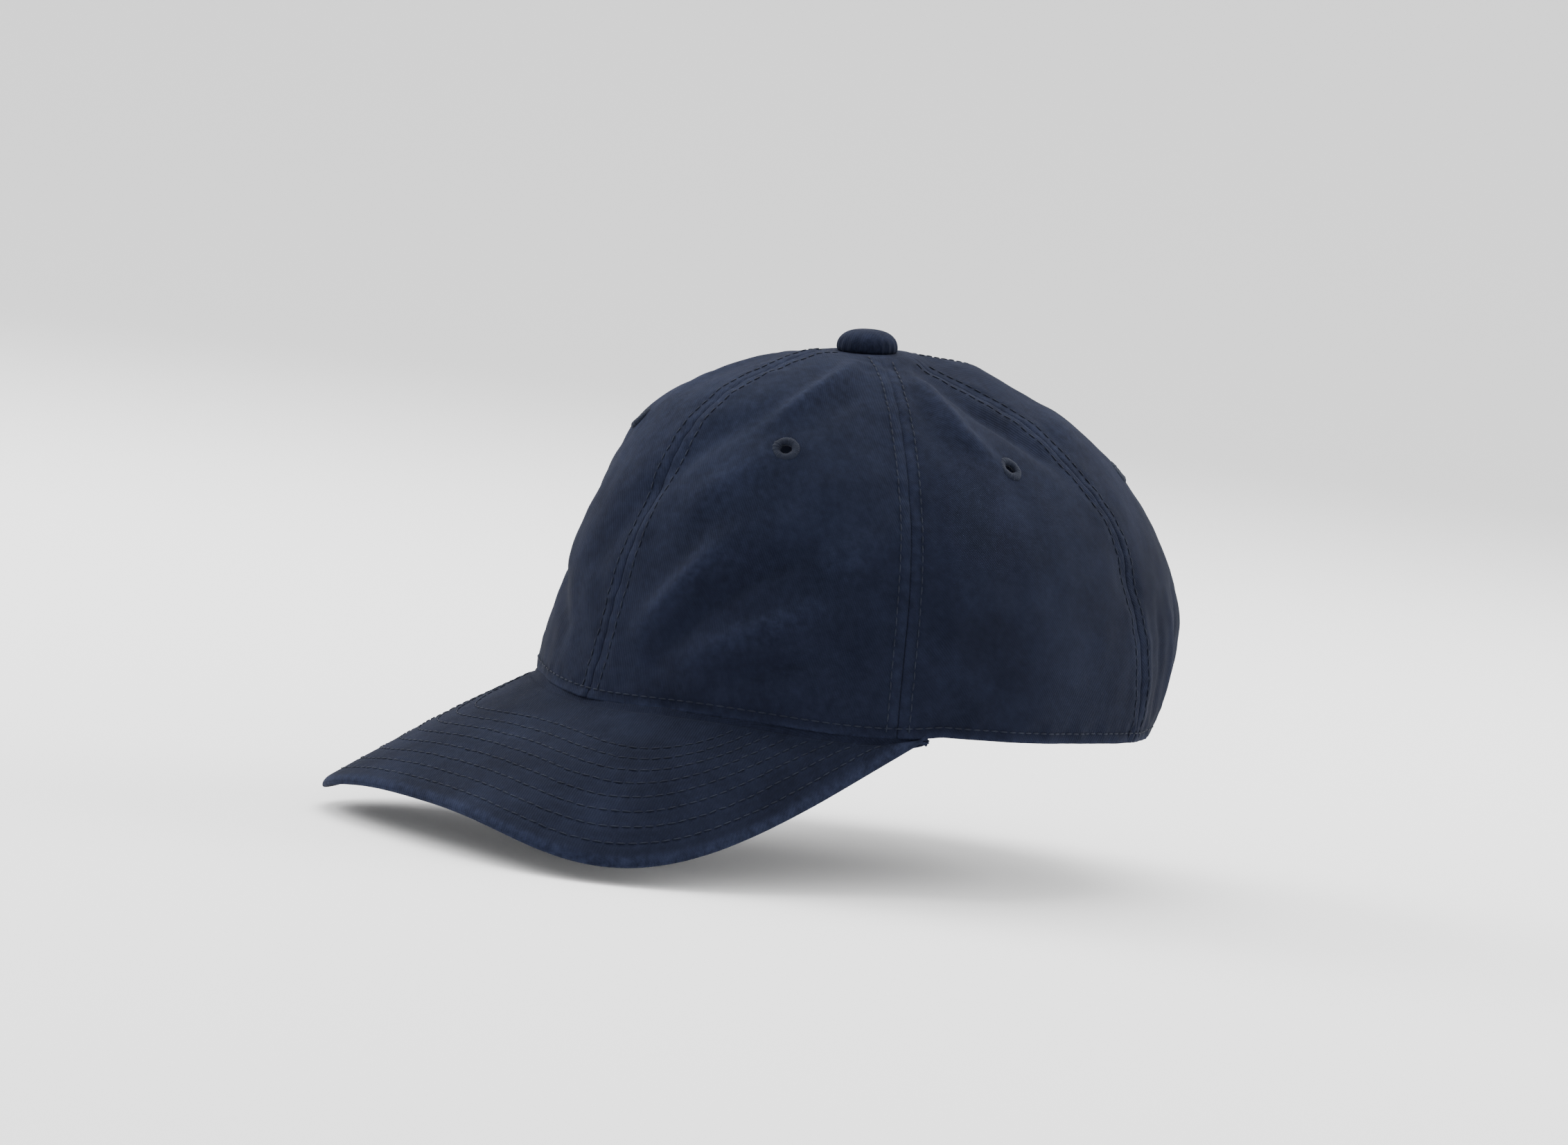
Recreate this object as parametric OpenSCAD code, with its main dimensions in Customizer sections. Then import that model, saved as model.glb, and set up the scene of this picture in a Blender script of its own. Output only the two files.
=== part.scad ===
// Unstructured six-panel baseball cap with a curved bill and a strap-and-buckle closure.
// Front is -Y, the wearer's left is +X, up is +Z.
// The origin is the centre of the head opening, level with the crown's lower edge.

/* [Head opening] */
// Length of the crown at its lower edge, front to back
head_length = 200; // [165:1:240]
// Width of the crown at its lower edge, side to side
head_width = 169; // [140:1:205]

/* [Crown] */
// Height of the crown's peak above its lower edge
crown_height = 105.5; // [88:0.5:128]
// How far the peak stands forward of the opening's centre
peak_forward = 9.5; // [5:0.5:14]
// Angle from the front to the seam behind each front panel
front_seam_angle = 63; // [55:1:70]
// Angle from the front to the seam behind each side panel
rear_seam_angle = 120; // [110:1:127]
// Thickness of the crown's twill
panel_t = 1.0; // [0.6:0.1:1.6]
// How far each gore puffs out between its seams
gore_puff = 1.0; // [0:0.1:2.5]

/* [Bill] */
// Angle from the front to each end of the bill
bill_end_angle = 71; // [62:1:78]
// Reach of the bill ahead of its two ends
bill_reach = 120.5; // [110:0.5:145]
// Depth of the bill's corners
bill_corner = 3; // [2:0.5:6]
// Squareness of the bill's outline, where 2 is an ellipse
bill_squareness = 3.9; // [2.2:0.1:5]
// Fall of the bill for each unit that it reaches forward
bill_slope = 0.51; // [0.3:0.01:0.7]
// Drop of the bill's two ends below its centre line, from its curve
bill_curve = 30.8; // [15:0.1:40]
// Thickness of the stiffening board
board_t = 1.6; // [1.2:0.1:2.4]
// Thickness of the fabric above and below the board
cover_t = 0.8; // [0.5:0.1:1.2]
// Width of the sewn rim outside the board
rim_w = 3; // [2:0.5:5]

/* [Trim] */
// Width of the tapes over the inner seams
tape_w = 12; // [8:1:16]
// Thickness of the tapes, binding and label
tape_t = 0.6; // [0.4:0.1:1]
// Height of the sweatband
sweatband_h = 32; // [24:1:38]
// Thickness of the sweatband
sweatband_t = 1.4; // [0.8:0.1:2]

/* [Button] */
// Radius of the covered button
button_r = 9.2; // [7:0.1:11]
// Height of the button's dome
button_h = 7.2; // [5:0.1:9]
// Thickness of the fabric over the button
button_cover_t = 0.7; // [0.4:0.1:1]

/* [Eyelets] */
// Radius of the hole in each eyelet
eyelet_hole_r = 1.8; // [1.2:0.1:2.4]
// Outer radius of each sewn ring
eyelet_ring_r = 4.1; // [3.6:0.1:5]
// Height of the eyelets on the front panels
front_eyelet_z = 75; // [55:1:80]
// Height of the eyelets on the side and rear panels
side_eyelet_z = 78; // [60:1:82]

/* [Closure] */
// Half the width of the opening at the back
arch_half_w = 38; // [32:1:42]
// Height of the opening at the back
arch_h = 44; // [38:1:52]
// Width of the binding inside that opening
binding_w = 7; // [5:1:10]
// Width of the strap
strap_w = 19; // [16:1:23]
// Thickness of the strap
strap_t = 1.5; // [1:0.1:1.8]
// Height of the strap's lower edge
strap_z = 3; // [2:0.5:6]
// Radius of the buckle's hinge pin
pin_r = 0.8; // [0.6:0.05:1.0]
// Clearance round the pin in the lever's bore
pin_gap = 0.05; // [0.02:0.01:0.09]
// Length of the buckle along the strap
buckle_l = 17; // [15:0.5:20]

/* [Hidden] */

NAVY = [0.13, 0.17, 0.26];
NAVY_LIGHT = [0.2, 0.25, 0.36];
NAVY_DARK = [0.08, 0.1, 0.16];
BRASS = [0.72, 0.58, 0.33];

// Half axes of the head opening at the crown's outer face.
half_l = head_length / 2;
half_w = head_width / 2;

// Room between pieces that are sewn edge to edge, and between cloth layers that lie on each other.
sewn_gap = 0.1;
layer_gap = 0.5;

// Crown meridian handles at the front, side and rear: bulge at the foot and its height,
// width of the shoulder and its drop below the peak, all as shares of radius and height.
FRONT_LINE = [-0.13, 0.80, 0.69, 0.09];
SIDE_LINE = [0.0, 0.38, 0.87, 0.15];
REAR_LINE = [0.27, 0.49, 0.735, -0.06];

// The gores stop at a small hole under the button, round its prong.
peak_hole_r = 2.5;
// The crown is flat under the button and leans forward there.
seat_lean = 5.5;
seat_sink = 1.2;
seat_flat_r = button_r + 0.8;
seat_blend_r = seat_flat_r + 10;

// Grid counts for the curved sheets.
gore_cols = 14;
gore_rows = 19;
arch_cols = 8;
bill_cols = 32;
bill_rows = 7;

// Depth of the middle of the bill's layers, and how far its faces turn in at the rim.
bill_middle = cover_t + layer_gap + board_t / 2;
rim_round = 0.5;

// The seam tapes stop short of the bend round the button's seat.
tape_end_r = seat_blend_r - tape_w / 4;
tape_depth = panel_t + layer_gap;
band_depth = tape_depth + tape_t + layer_gap;
strap_depth = tape_depth + tape_t + layer_gap;
strap_lap = 14;
strap_tail = 12;
label_w = 26;
label_h = 14;

prong_r = peak_hole_r - 0.6;
prong_washer_r = 7;
eyelet_web_r = eyelet_hole_r + 0.6;
eyelet_flange_t = 0.5;
eyelet_gap = 0.35;
front_eyelet_angle = 32;
side_eyelet_angle = 94;
rear_eyelet_angle = 150;

// Buckle sizes, in its own frame: x along the strap, y outwards, z up; y = 0 is mid-strap.
buckle_arc = 0.4 * arch_half_w;
plate_t = 0.8;
strap_bow = 1.5;
plate_y = -strap_t / 2 - strap_bow - plate_t;
cheek_gap = 0.5;
cheek_t = 1.2;
cheek_h = strap_w + 2 * cheek_gap;
buckle_h = cheek_h + 2 * cheek_t;
hinge_r = pin_r + 1.1;
hinge_x = buckle_l / 2 - hinge_r;
hinge_y = strap_t / 2 + 0.3 + hinge_r;
lever_t = 1.1;
lever_side_gap = 0.25;
lever_h = cheek_h - 2 * lever_side_gap;
lever_end_x = -buckle_l / 2 + 0.5;
lip_t = 1;
slot_w = 2.2;
bar_w = 1.8;
tab_lap = 12;
tab_t = 0.8;
tab_depth = strap_depth + strap_t + strap_bow + plate_t + layer_gap;

// General helpers.
function lerp(a, b, s) = a + (b - a) * s;
function unit(v) = v / norm(v);
function clamp01(s) = min(1, max(0, s));
function smooth(s) = s * s * (3 - 2 * s);
function flatten(rows) = [for (row = rows) each row];
function bezier(a, b, c, d, v) =
    let (u = 1 - v) u * u * u * a + 3 * u * u * v * b + 3 * u * v * v * c + v * v * v * d;

// Height of the crown's lower edge: level, but following the bill where the bill is sewn on.
function bill_sag(x) = bill_curve * pow(abs(x) / (half_w * sin(bill_end_angle)), 2.9);
function bill_top_z(x, y) =
    bill_curve - bill_slope * half_l * (1 - cos(bill_end_angle)) + bill_slope * (y + half_l)
    - bill_sag(x);
function edge_z(t) =
    abs(t) < bill_end_angle ? bill_top_z(half_w * sin(t), -half_l * cos(t)) : 0;

// Share of the way across its gore at angle t.
function gore_share(t) =
    let (a = abs(t))
    a < front_seam_angle ? a / front_seam_angle
    : a < rear_seam_angle ? (a - front_seam_angle) / (rear_seam_angle - front_seam_angle)
    : (a - rear_seam_angle) / (180 - rear_seam_angle);

// Point of the crown's outer face at angle t from the front and share v of the way to the peak.
function line_at(t) =
    [pow(max(cos(t), 0), 2), pow(sin(t), 2), pow(max(-cos(t), 0), 2)]
    * [FRONT_LINE, SIDE_LINE, REAR_LINE];
function bare_pt(t, v) =
    let (
        h = line_at(t),
        foot = edge_z(t),
        puff = gore_puff * sin(180 * gore_share(t)) * sin(180 * v),
        r = bezier(1, 1 + h[0], h[2], 0, v) + puff / half_w,
        z = bezier(foot, foot + crown_height * h[1], crown_height * (1 - h[3]), crown_height, v)
    )
    [half_w * sin(t) * r, -half_l * cos(t) * r - peak_forward * (1 - r), z];
function seat_z(y) = crown_height - seat_sink + tan(seat_lean) * (y + peak_forward);
function crown_pt(t, v) =
    let (
        p = bare_pt(t, v),
        rad = norm([p[0], p[1] + peak_forward]),
        s = smooth(clamp01((seat_blend_r - rad) / (seat_blend_r - seat_flat_r)))
    )
    [p[0], p[1], v < 0.5 ? p[2] : lerp(p[2], seat_z(p[1]), s)];
function crown_out(t, v) =
    unit(cross(crown_pt(t + 1, v) - crown_pt(t - 1, v), crown_pt(t, v + 0.01) - crown_pt(t, v - 0.01)));
// The same point sunk by a depth below the outer face.
function crown_in(t, v, depth) = crown_pt(t, v) - depth * crown_out(t, v);

// Share v at which the crown reaches height z, and at which it narrows to radius r.
function v_at_z(t, z, lo = 0, hi = 0.9, n = 18) =
    n == 0 ? (lo + hi) / 2
    : let (mid = (lo + hi) / 2)
      crown_pt(t, mid)[2] < z ? v_at_z(t, z, mid, hi, n - 1) : v_at_z(t, z, lo, mid, n - 1);
function peak_r(t, v) = let (p = crown_pt(t, v)) norm([p[0], p[1] + peak_forward]);
function v_at_r(t, r, lo = 0.5, hi = 1, n = 18) =
    n == 0 ? (lo + hi) / 2
    : let (mid = (lo + hi) / 2)
      peak_r(t, mid) > r ? v_at_r(t, r, mid, hi, n - 1) : v_at_r(t, r, lo, mid, n - 1);

// Angle that a width spans across the crown at (t, v).
function span_angle(t, v, width) =
    width / (norm(crown_pt(t + 0.5, v) - crown_pt(t - 0.5, v)));

// Angle at a distance u along the lower edge from the back seam, towards the wearer's right.
function rear_angle(u) = 180 + u / half_w * 180 / PI;
// Height of the back opening at a distance u from the back seam, grown by an extra margin.
function arch_z(u, grow = 0) =
    let (s = abs(u) / (arch_half_w + grow)) s < 1 ? (arch_h + grow) * sqrt(1 - s * s) : 0;

// Where the back seam's tape starts, above the bound opening.
back_tape_v = v_at_z(180, arch_h + binding_w + 1);

// A sheet with thickness between two grids of points, closed along all four sides.
module sheet(outer, inner) {
    rows = len(outer);
    cols = len(outer[0]);
    n = rows * cols;
    points = concat(flatten(outer), flatten(inner));
    function quad(a, b, c, d) = [[a, b, c], [a, c, d]];
    faces = concat(
        [for (i = [0 : rows - 2], j = [0 : cols - 2])
            let (a = i * cols + j)
            each quad(a, a + cols, a + cols + 1, a + 1)],
        [for (i = [0 : rows - 2], j = [0 : cols - 2])
            let (a = n + i * cols + j)
            each quad(a, a + 1, a + cols + 1, a + cols)],
        [for (j = [0 : cols - 2], end = [0, 1])
            let (a = end * (rows - 1) * cols + j)
            each end == 0 ? quad(a, a + 1, a + 1 + n, a + n) : quad(a, a + n, a + 1 + n, a + 1)],
        [for (i = [0 : rows - 2], end = [0, 1])
            let (a = i * cols + end * (cols - 1))
            each end == 0 ? quad(a, a + n, a + cols + n, a + cols)
                 : quad(a, a + cols, a + cols + n, a + n)]
    );
    polyhedron(points, faces);
}

// A strip of cloth that follows the crown, given by its angles and its rows of shares.
module crown_sheet(grid, depth, thickness) {
    sheet([for (row = grid) [for (p = row) crown_in(p[0], p[1], depth)]],
          [for (row = grid) [for (p = row) crown_in(p[0], p[1], depth + thickness)]]);
}

// Puts its children on the crown: x along the edge, y outwards, z up the crown.
module on_crown(t, v) {
    p = crown_pt(t, v);
    y = crown_out(t, v);
    x = unit(cross(y, [0, 0, 1]));
    z = cross(x, y);
    multmatrix([
        [x[0], y[0], z[0], p[0]],
        [x[1], y[1], z[1], p[1]],
        [x[2], y[2], z[2], p[2]]
    ]) children();
}

// Puts its children on the wearer's left, or mirrored on the right.
module on_side(side) {
    if (side == "left") children();
    else mirror([1, 0, 0]) children();
}

// One gore between two seams, from its lower edge to the hole at the peak.
module gore(from, to, at_back = false) {
    plain = [for (j = [0 : gore_cols]) lerp(from, to, j / gore_cols)];
    arch_start = rear_angle(-arch_half_w);
    arched = concat(
        [for (j = [0 : gore_cols - arch_cols - 1])
            lerp(from, arch_start, j / (gore_cols - arch_cols))],
        [for (j = [arch_cols : -1 : 0])
            rear_angle(-arch_half_w * sin(90 * j / arch_cols))]
    );
    angles = at_back ? arched : plain;
    grid = [for (i = [0 : gore_rows])
        [for (t = angles)
            let (
                u = (180 - t) * PI / 180 * half_w,
                low = at_back && arch_z(u) > 0.01 ? v_at_z(t, arch_z(u)) : 0,
                v = i < gore_rows ? lerp(low, v_at_r(t, seat_flat_r), i / (gore_rows - 1))
                    : v_at_r(t, peak_hole_r),
                nudge = min(1.2, span_angle(t, v, sewn_gap / 2)),
                shift = t == from ? nudge : t == to ? -nudge : 0
            )
            [t + shift, v]]];
    crown_sheet(grid, 0, panel_t);
}

module eyelet_hole(t, z) {
    on_crown(t, v_at_z(t, z))
        rotate([90, 0, 0])
            cylinder(r = eyelet_web_r + eyelet_gap, h = 8 * panel_t, center = true, $fn = 32);
}

module front_panel(side) {
    color(NAVY) on_side(side) difference() {
        gore(0, front_seam_angle);
        eyelet_hole(front_eyelet_angle, front_eyelet_z);
    }
}

module side_panel(side) {
    color(NAVY_LIGHT) on_side(side) difference() {
        gore(front_seam_angle, rear_seam_angle);
        eyelet_hole(side_eyelet_angle, side_eyelet_z);
    }
}

module rear_panel(side) {
    color(NAVY) on_side(side) difference() {
        gore(rear_seam_angle, 180, at_back = true);
        eyelet_hole(rear_eyelet_angle, side_eyelet_z);
    }
}

// Tape over the inner side of a seam, from share low up to the bend round the button's seat.
// Its rows are the gores' own rows, so that the two lie parallel.
module seam_tape(t, low = 0) {
    top = v_at_r(t, tape_end_r);
    shares = [for (i = [0 : gore_rows - 1]) lerp(low, v_at_r(t, seat_flat_r), i / (gore_rows - 1))];
    color(NAVY_DARK) crown_sheet(
        [for (v = concat([for (v = shares) if (v < top - 0.01) v], [top]))
            let (half = span_angle(t, v, tape_w / 2))
            [for (k = [-2 : 2]) [t + half * k / 2, v]]],
        tape_depth, tape_t);
}

// Folded band inside the head opening, from one end of the strap to the other.
module sweatband() {
    cols = 44;
    rows = 3;
    end = rear_angle(-(arch_half_w + strap_tail + tab_lap + 2));
    foot = 1;
    color(NAVY_LIGHT) crown_sheet(
        [for (i = [0 : rows])
            [for (j = [0 : cols])
                let (t = lerp(-end, end, j / cols))
                [t, v_at_z(t, edge_z(t) + foot + sweatband_h * i / rows)]]],
        band_depth, sweatband_t);
}

// Tape that binds the arched opening on its inner side.
module opening_binding() {
    cols = 28;
    color(NAVY_DARK) crown_sheet(
        [for (i = [0 : 1])
            [for (j = [0 : cols])
                let (
                    a = lerp(-82, 82, j / cols),
                    grow = lerp(0.3, binding_w, i),
                    t = rear_angle((arch_half_w + grow) * sin(a))
                )
                [t, v_at_z(t, (arch_h + grow) * cos(a))]]],
        tape_depth, tape_t);
}

// Blank label sewn inside the sweatband.
module inner_label() {
    t = 100;
    cols = 6;
    low = (sweatband_h - label_h) / 2;
    color("white") crown_sheet(
        [for (i = [0 : 2])
            [for (j = [0 : cols])
                let (a = t + span_angle(t, 0.1, label_w) * (j / cols - 0.5))
                [a, v_at_z(a, low + label_h * i / 2)]]],
        band_depth + sweatband_t + layer_gap, tape_t);
}

// Point of the bill's outline at a, from -90 to 90 round the rim; an inset narrows at the corners.
function rim_pt(a, inset) =
    let (
        w = half_w * sin(bill_end_angle),
        ahead = max(cos(a), 0),
        r = pow(pow(abs(sin(a)) / w, bill_squareness)
                + pow(ahead / bill_reach, bill_squareness), -1 / bill_squareness)
            - inset * lerp(0.2, 1, sqrt(ahead))
    )
    [r * sin(a), -half_l * cos(bill_end_angle) - bill_corner - r * cos(a)];
// Point of the bill at share s of the way from the crown to the rim, at a depth below its upper face.
function bill_pt(a, s, inset, depth) =
    let (
        t = a / 90 * bill_end_angle,
        foot = [half_w * sin(t), -half_l * cos(t)],
        rim = rim_pt(a, inset),
        p = lerp(foot, rim, s)
    )
    [p[0], p[1], bill_top_z(p[0], p[1]) - layer_gap - depth];

// One layer of the bill between two depths; at the rim, its faces move to two other depths.
module bill_layer(top, bottom, inset, rim_top, rim_bottom) {
    turn = 0.96;
    shares = [for (i = [0 : bill_rows]) i < bill_rows ? turn * i / (bill_rows - 1) : 1];
    function layer(face, rim_face) =
        [for (i = [0 : bill_rows])
            [for (j = [0 : bill_cols])
                bill_pt(lerp(-90, 90, j / bill_cols), shares[i], inset,
                        i < bill_rows ? face : rim_face)]];
    sheet(layer(bottom, rim_bottom), layer(top, rim_top));
}

module bill_top_cover() {
    color(NAVY) bill_layer(0, cover_t, 0, rim_round, bill_middle - sewn_gap / 2);
}

module bill_board() {
    top = cover_t + layer_gap;
    color("white") bill_layer(top, top + board_t, rim_w, top, top + board_t);
}

module bill_bottom_cover() {
    top = cover_t + board_t + 2 * layer_gap;
    color(NAVY_DARK)
        bill_layer(top, top + cover_t, 0, bill_middle + sewn_gap / 2, top + cover_t - rim_round);
}

// Puts its children on the button's seat, leaning with the crown's peak.
module on_seat() {
    translate([0, -peak_forward, crown_height - seat_sink]) rotate([seat_lean, 0, 0]) children();
}

// Outline of a dome of radius r and height h that stands on a short straight skirt.
module dome_outline(r, h) {
    skirt = 0.25 * h;
    intersection() {
        translate([0, skirt]) scale([r / (h - skirt), 1]) circle(h - skirt, $fn = 48);
        square([r, h]);
    }
    square([r, skirt]);
}

// Fabric gathered over the button.
module button_cover() {
    color(NAVY) on_seat() translate([0, 0, sewn_gap]) rotate_extrude($fn = 64) dome_ring(
        button_r, button_h, button_r - button_cover_t, button_h - button_cover_t);
}

// Section between two domes.
module dome_ring(outer_r, outer_h, inner_r, inner_h) {
    difference() {
        dome_outline(outer_r, outer_h);
        dome_outline(inner_r, inner_h);
    }
}

// Metal blank under the fabric.
module button_shell() {
    r = button_r - button_cover_t - sewn_gap;
    h = button_h - button_cover_t - sewn_gap;
    wall = 0.6;
    color("silver") on_seat() translate([0, 0, sewn_gap]) rotate_extrude($fn = 64)
        dome_ring(r, h, r - wall, h - wall);
}

// Prong that pins the button through the gores, with its washer under them.
module button_prong() {
    head_r = button_r - button_cover_t - 1.5;
    head_t = 0.8;
    washer_t = 0.6;
    low = -panel_t - 0.5 - washer_t;
    color("silver") on_seat() {
        translate([0, 0, 0.3]) cylinder(r = head_r, h = head_t, $fn = 48);
        translate([0, 0, low]) cylinder(r = prong_r, h = head_t - low, $fn = 32);
        translate([0, 0, low]) cylinder(r = prong_washer_r, h = washer_t, $fn = 48);
    }
}

// Sewn ring with a flange on each face of the panel.
module eyelet(t, z) {
    half = panel_t / 2 + eyelet_gap;
    color(NAVY_LIGHT) on_crown(t, v_at_z(t, z))
        translate([0, -panel_t / 2, 0]) rotate([90, 0, 0]) rotate_extrude($fn = 48) {
            translate([eyelet_hole_r, -half - eyelet_flange_t])
                square([eyelet_web_r - eyelet_hole_r, 2 * (half + eyelet_flange_t)]);
            for (side = [-1, 1])
                translate([eyelet_hole_r, side * (half + eyelet_flange_t / 2) - eyelet_flange_t / 2])
                    square([eyelet_ring_r - eyelet_hole_r, eyelet_flange_t]);
        }
}

// Strap across the opening, sewn inside the left rear panel, its tail tucked behind the right one.
module strap() {
    cols = 26;
    color(NAVY_LIGHT) crown_sheet(
        [for (i = [0 : 2])
            [for (j = [0 : cols])
                let (t = rear_angle(lerp(-arch_half_w - strap_lap, arch_half_w + strap_tail, j / cols)))
                [t, v_at_z(t, strap_z + strap_w * i / 2)]]],
        strap_depth, strap_t);
}

// Moves its children to the middle of the strap inside the buckle.
module on_buckle() {
    t = rear_angle(buckle_arc);
    on_crown(t, v_at_z(t, strap_z + strap_w / 2))
        translate([0, -strap_depth - strap_t / 2, 0]) children();
}

// Fabric tab that ties the buckle's bar to the right rear panel, past the strap's tail.
module buckle_tab() {
    cols = 12;
    start = buckle_arc + buckle_l / 2 - bar_w - slot_w;
    tail_end = arch_half_w + strap_tail;
    function depth_at(u) = lerp(tab_depth, tape_depth, smooth(clamp01((u - tail_end - 1) / 6)));
    function face(extra) =
        [for (i = [0 : 2])
            [for (j = [0 : cols])
                let (
                    u = lerp(start, tail_end + tab_lap, j / cols),
                    t = rear_angle(u),
                    v = v_at_z(t, strap_z + strap_w * i / 2)
                )
                crown_in(t, v, depth_at(u) + extra)]];
    color(NAVY) sheet(face(0), face(tab_t));
}

// Plate behind the strap, with a bar for the tab and an ear above and below for the pin.
module buckle_base() {
    color(BRASS) on_buckle() difference() {
        union() {
            translate([-buckle_l / 2, plate_y, -buckle_h / 2])
                cube([buckle_l, plate_t, buckle_h]);
            for (z = [-buckle_h / 2, cheek_h / 2]) translate([hinge_x, 0, z]) {
                translate([-hinge_r, plate_y, 0])
                    cube([2 * hinge_r, hinge_y - plate_y, cheek_t]);
                translate([0, hinge_y, 0]) cylinder(r = hinge_r, h = cheek_t, $fn = 48);
            }
        }
        translate([hinge_x, hinge_y, -buckle_h]) cylinder(r = pin_r, h = 2 * buckle_h, $fn = 48);
        translate([-buckle_l / 2 + bar_w, plate_y - 1, -strap_w / 2])
            cube([slot_w, plate_t + 2, strap_w]);
    }
}

// Pin through the two ears.
module buckle_pin() {
    color(BRASS) on_buckle() translate([hinge_x, hinge_y, -buckle_h / 2])
        cylinder(r = pin_r, h = buckle_h, $fn = 48);
}

// Lever that turns on the pin and closes over the strap with a turned-down lip.
module buckle_lever() {
    top_y = hinge_y + hinge_r;
    lip_y = strap_t / 2 + 0.5;
    color(BRASS) on_buckle() difference() {
        translate([0, 0, -lever_h / 2]) {
            translate([hinge_x, hinge_y, 0]) cylinder(r = hinge_r, h = lever_h, $fn = 48);
            translate([lever_end_x, top_y - lever_t, 0])
                cube([hinge_x - lever_end_x, lever_t, lever_h]);
            translate([lever_end_x, lip_y, 0]) cube([lip_t, top_y - lip_y, lever_h]);
        }
        translate([hinge_x, hinge_y, -buckle_h])
            cylinder(r = pin_r + pin_gap, h = 2 * buckle_h, $fn = 48);
    }
}

front_panel("left");  // front_panel_left
front_panel("right");  // front_panel_right
side_panel("left");  // side_panel_left
side_panel("right");  // side_panel_right
rear_panel("left");  // rear_panel_left
rear_panel("right");  // rear_panel_right
seam_tape(0);  // seam_tape_front
seam_tape(180, back_tape_v);  // seam_tape_back
seam_tape(front_seam_angle);  // seam_tape_front_left
seam_tape(-front_seam_angle);  // seam_tape_front_right
seam_tape(rear_seam_angle);  // seam_tape_rear_left
seam_tape(-rear_seam_angle);  // seam_tape_rear_right
sweatband();
opening_binding();
inner_label();
bill_top_cover();
bill_board();
bill_bottom_cover();
button_shell();
button_cover();
button_prong();
eyelet(front_eyelet_angle, front_eyelet_z);  // eyelet_front_left
eyelet(-front_eyelet_angle, front_eyelet_z);  // eyelet_front_right
eyelet(side_eyelet_angle, side_eyelet_z);  // eyelet_side_left
eyelet(-side_eyelet_angle, side_eyelet_z);  // eyelet_side_right
eyelet(rear_eyelet_angle, side_eyelet_z);  // eyelet_rear_left
eyelet(-rear_eyelet_angle, side_eyelet_z);  // eyelet_rear_right
strap();
buckle_tab();
buckle_base();
buckle_pin();
buckle_lever();
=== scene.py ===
"""A washed navy baseball cap: six soft gores, a stitched bill, and a strap with a clamp buckle."""
import logging
import math
from collections.abc import Callable
from dataclasses import dataclass
from enum import Enum

import bmesh
import bpy
import numpy as np
from mathutils import Matrix, Vector


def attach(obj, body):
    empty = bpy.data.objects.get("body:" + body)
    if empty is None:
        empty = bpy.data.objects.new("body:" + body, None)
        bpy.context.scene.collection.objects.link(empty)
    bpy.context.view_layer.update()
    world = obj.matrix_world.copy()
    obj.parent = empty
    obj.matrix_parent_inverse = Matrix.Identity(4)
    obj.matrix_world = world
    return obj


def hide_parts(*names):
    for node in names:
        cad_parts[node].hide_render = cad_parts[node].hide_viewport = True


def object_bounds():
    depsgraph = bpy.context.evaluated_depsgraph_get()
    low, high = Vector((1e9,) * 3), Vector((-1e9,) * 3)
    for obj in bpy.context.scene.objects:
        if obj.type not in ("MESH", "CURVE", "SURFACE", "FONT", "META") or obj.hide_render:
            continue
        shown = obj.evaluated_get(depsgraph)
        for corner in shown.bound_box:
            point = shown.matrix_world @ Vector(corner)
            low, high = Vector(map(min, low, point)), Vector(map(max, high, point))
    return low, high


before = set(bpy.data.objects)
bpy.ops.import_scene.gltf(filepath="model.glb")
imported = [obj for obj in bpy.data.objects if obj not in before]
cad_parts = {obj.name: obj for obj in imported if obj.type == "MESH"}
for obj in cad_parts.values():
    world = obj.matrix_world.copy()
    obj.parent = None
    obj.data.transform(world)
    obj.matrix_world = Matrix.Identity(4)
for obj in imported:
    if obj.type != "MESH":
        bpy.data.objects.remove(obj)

CAD_BOX = [list(corner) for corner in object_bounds()]
MM = 0.001
CAP_BODY = "cap"
LOG = logging.getLogger("cap")
Grid = np.ndarray


class Slot(Enum):
    """The record's slots for cloth and thread."""

    TWILL = "washed_twill"
    TAPE = "seam_tape"
    BAND = "sweatband_cotton"
    LABEL = "label_satin"
    THREAD = "eyelet_thread"


class Side(Enum):
    """The wearer's two sides, as the sign of X."""

    LEFT = 1
    RIGHT = -1


# ---------------------------------------------------------------- small maths


def smooth(low: float, high: float, x: Grid) -> Grid:
    """Rises smoothly from 0 at low to 1 at high, or falls where low is the larger."""
    s = np.clip((x - low) / (high - low), 0.0, 1.0)
    return s * s * (3.0 - 2.0 * s)


def bell(x: Grid, width: float) -> Grid:
    """A bump of height 1 at x = 0 that has gone by about twice its width."""
    return np.exp(-((x / width) ** 2))


def unit(v: Grid) -> Grid:
    """Vectors scaled to length 1."""
    return v / np.maximum(np.linalg.norm(v, axis=-1, keepdims=True), 1e-12)


def bezier(a: Grid, b: Grid, c: Grid, d: Grid, v: Grid) -> Grid:
    """A cubic curve through a and d with handles b and c."""
    u = 1.0 - v
    return u**3 * a + 3 * u * u * v * b + 3 * u * v * v * c + v**3 * d


def wrap(angle: Grid) -> Grid:
    """Angles in degrees brought between -180 and 180."""
    return (angle + 180.0) % 360.0 - 180.0


def steps(length: float, pitch: float) -> Grid:
    """Even places from 0 to length, about a pitch apart."""
    return np.linspace(0.0, length, max(2, int(round(length / pitch)) + 1))


def arc_length(path: Grid) -> Grid:
    """Distance along a path to each of its points."""
    legs = np.linalg.norm(np.diff(path, axis=0), axis=1)
    return np.concatenate([[0.0], np.cumsum(legs)])


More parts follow.
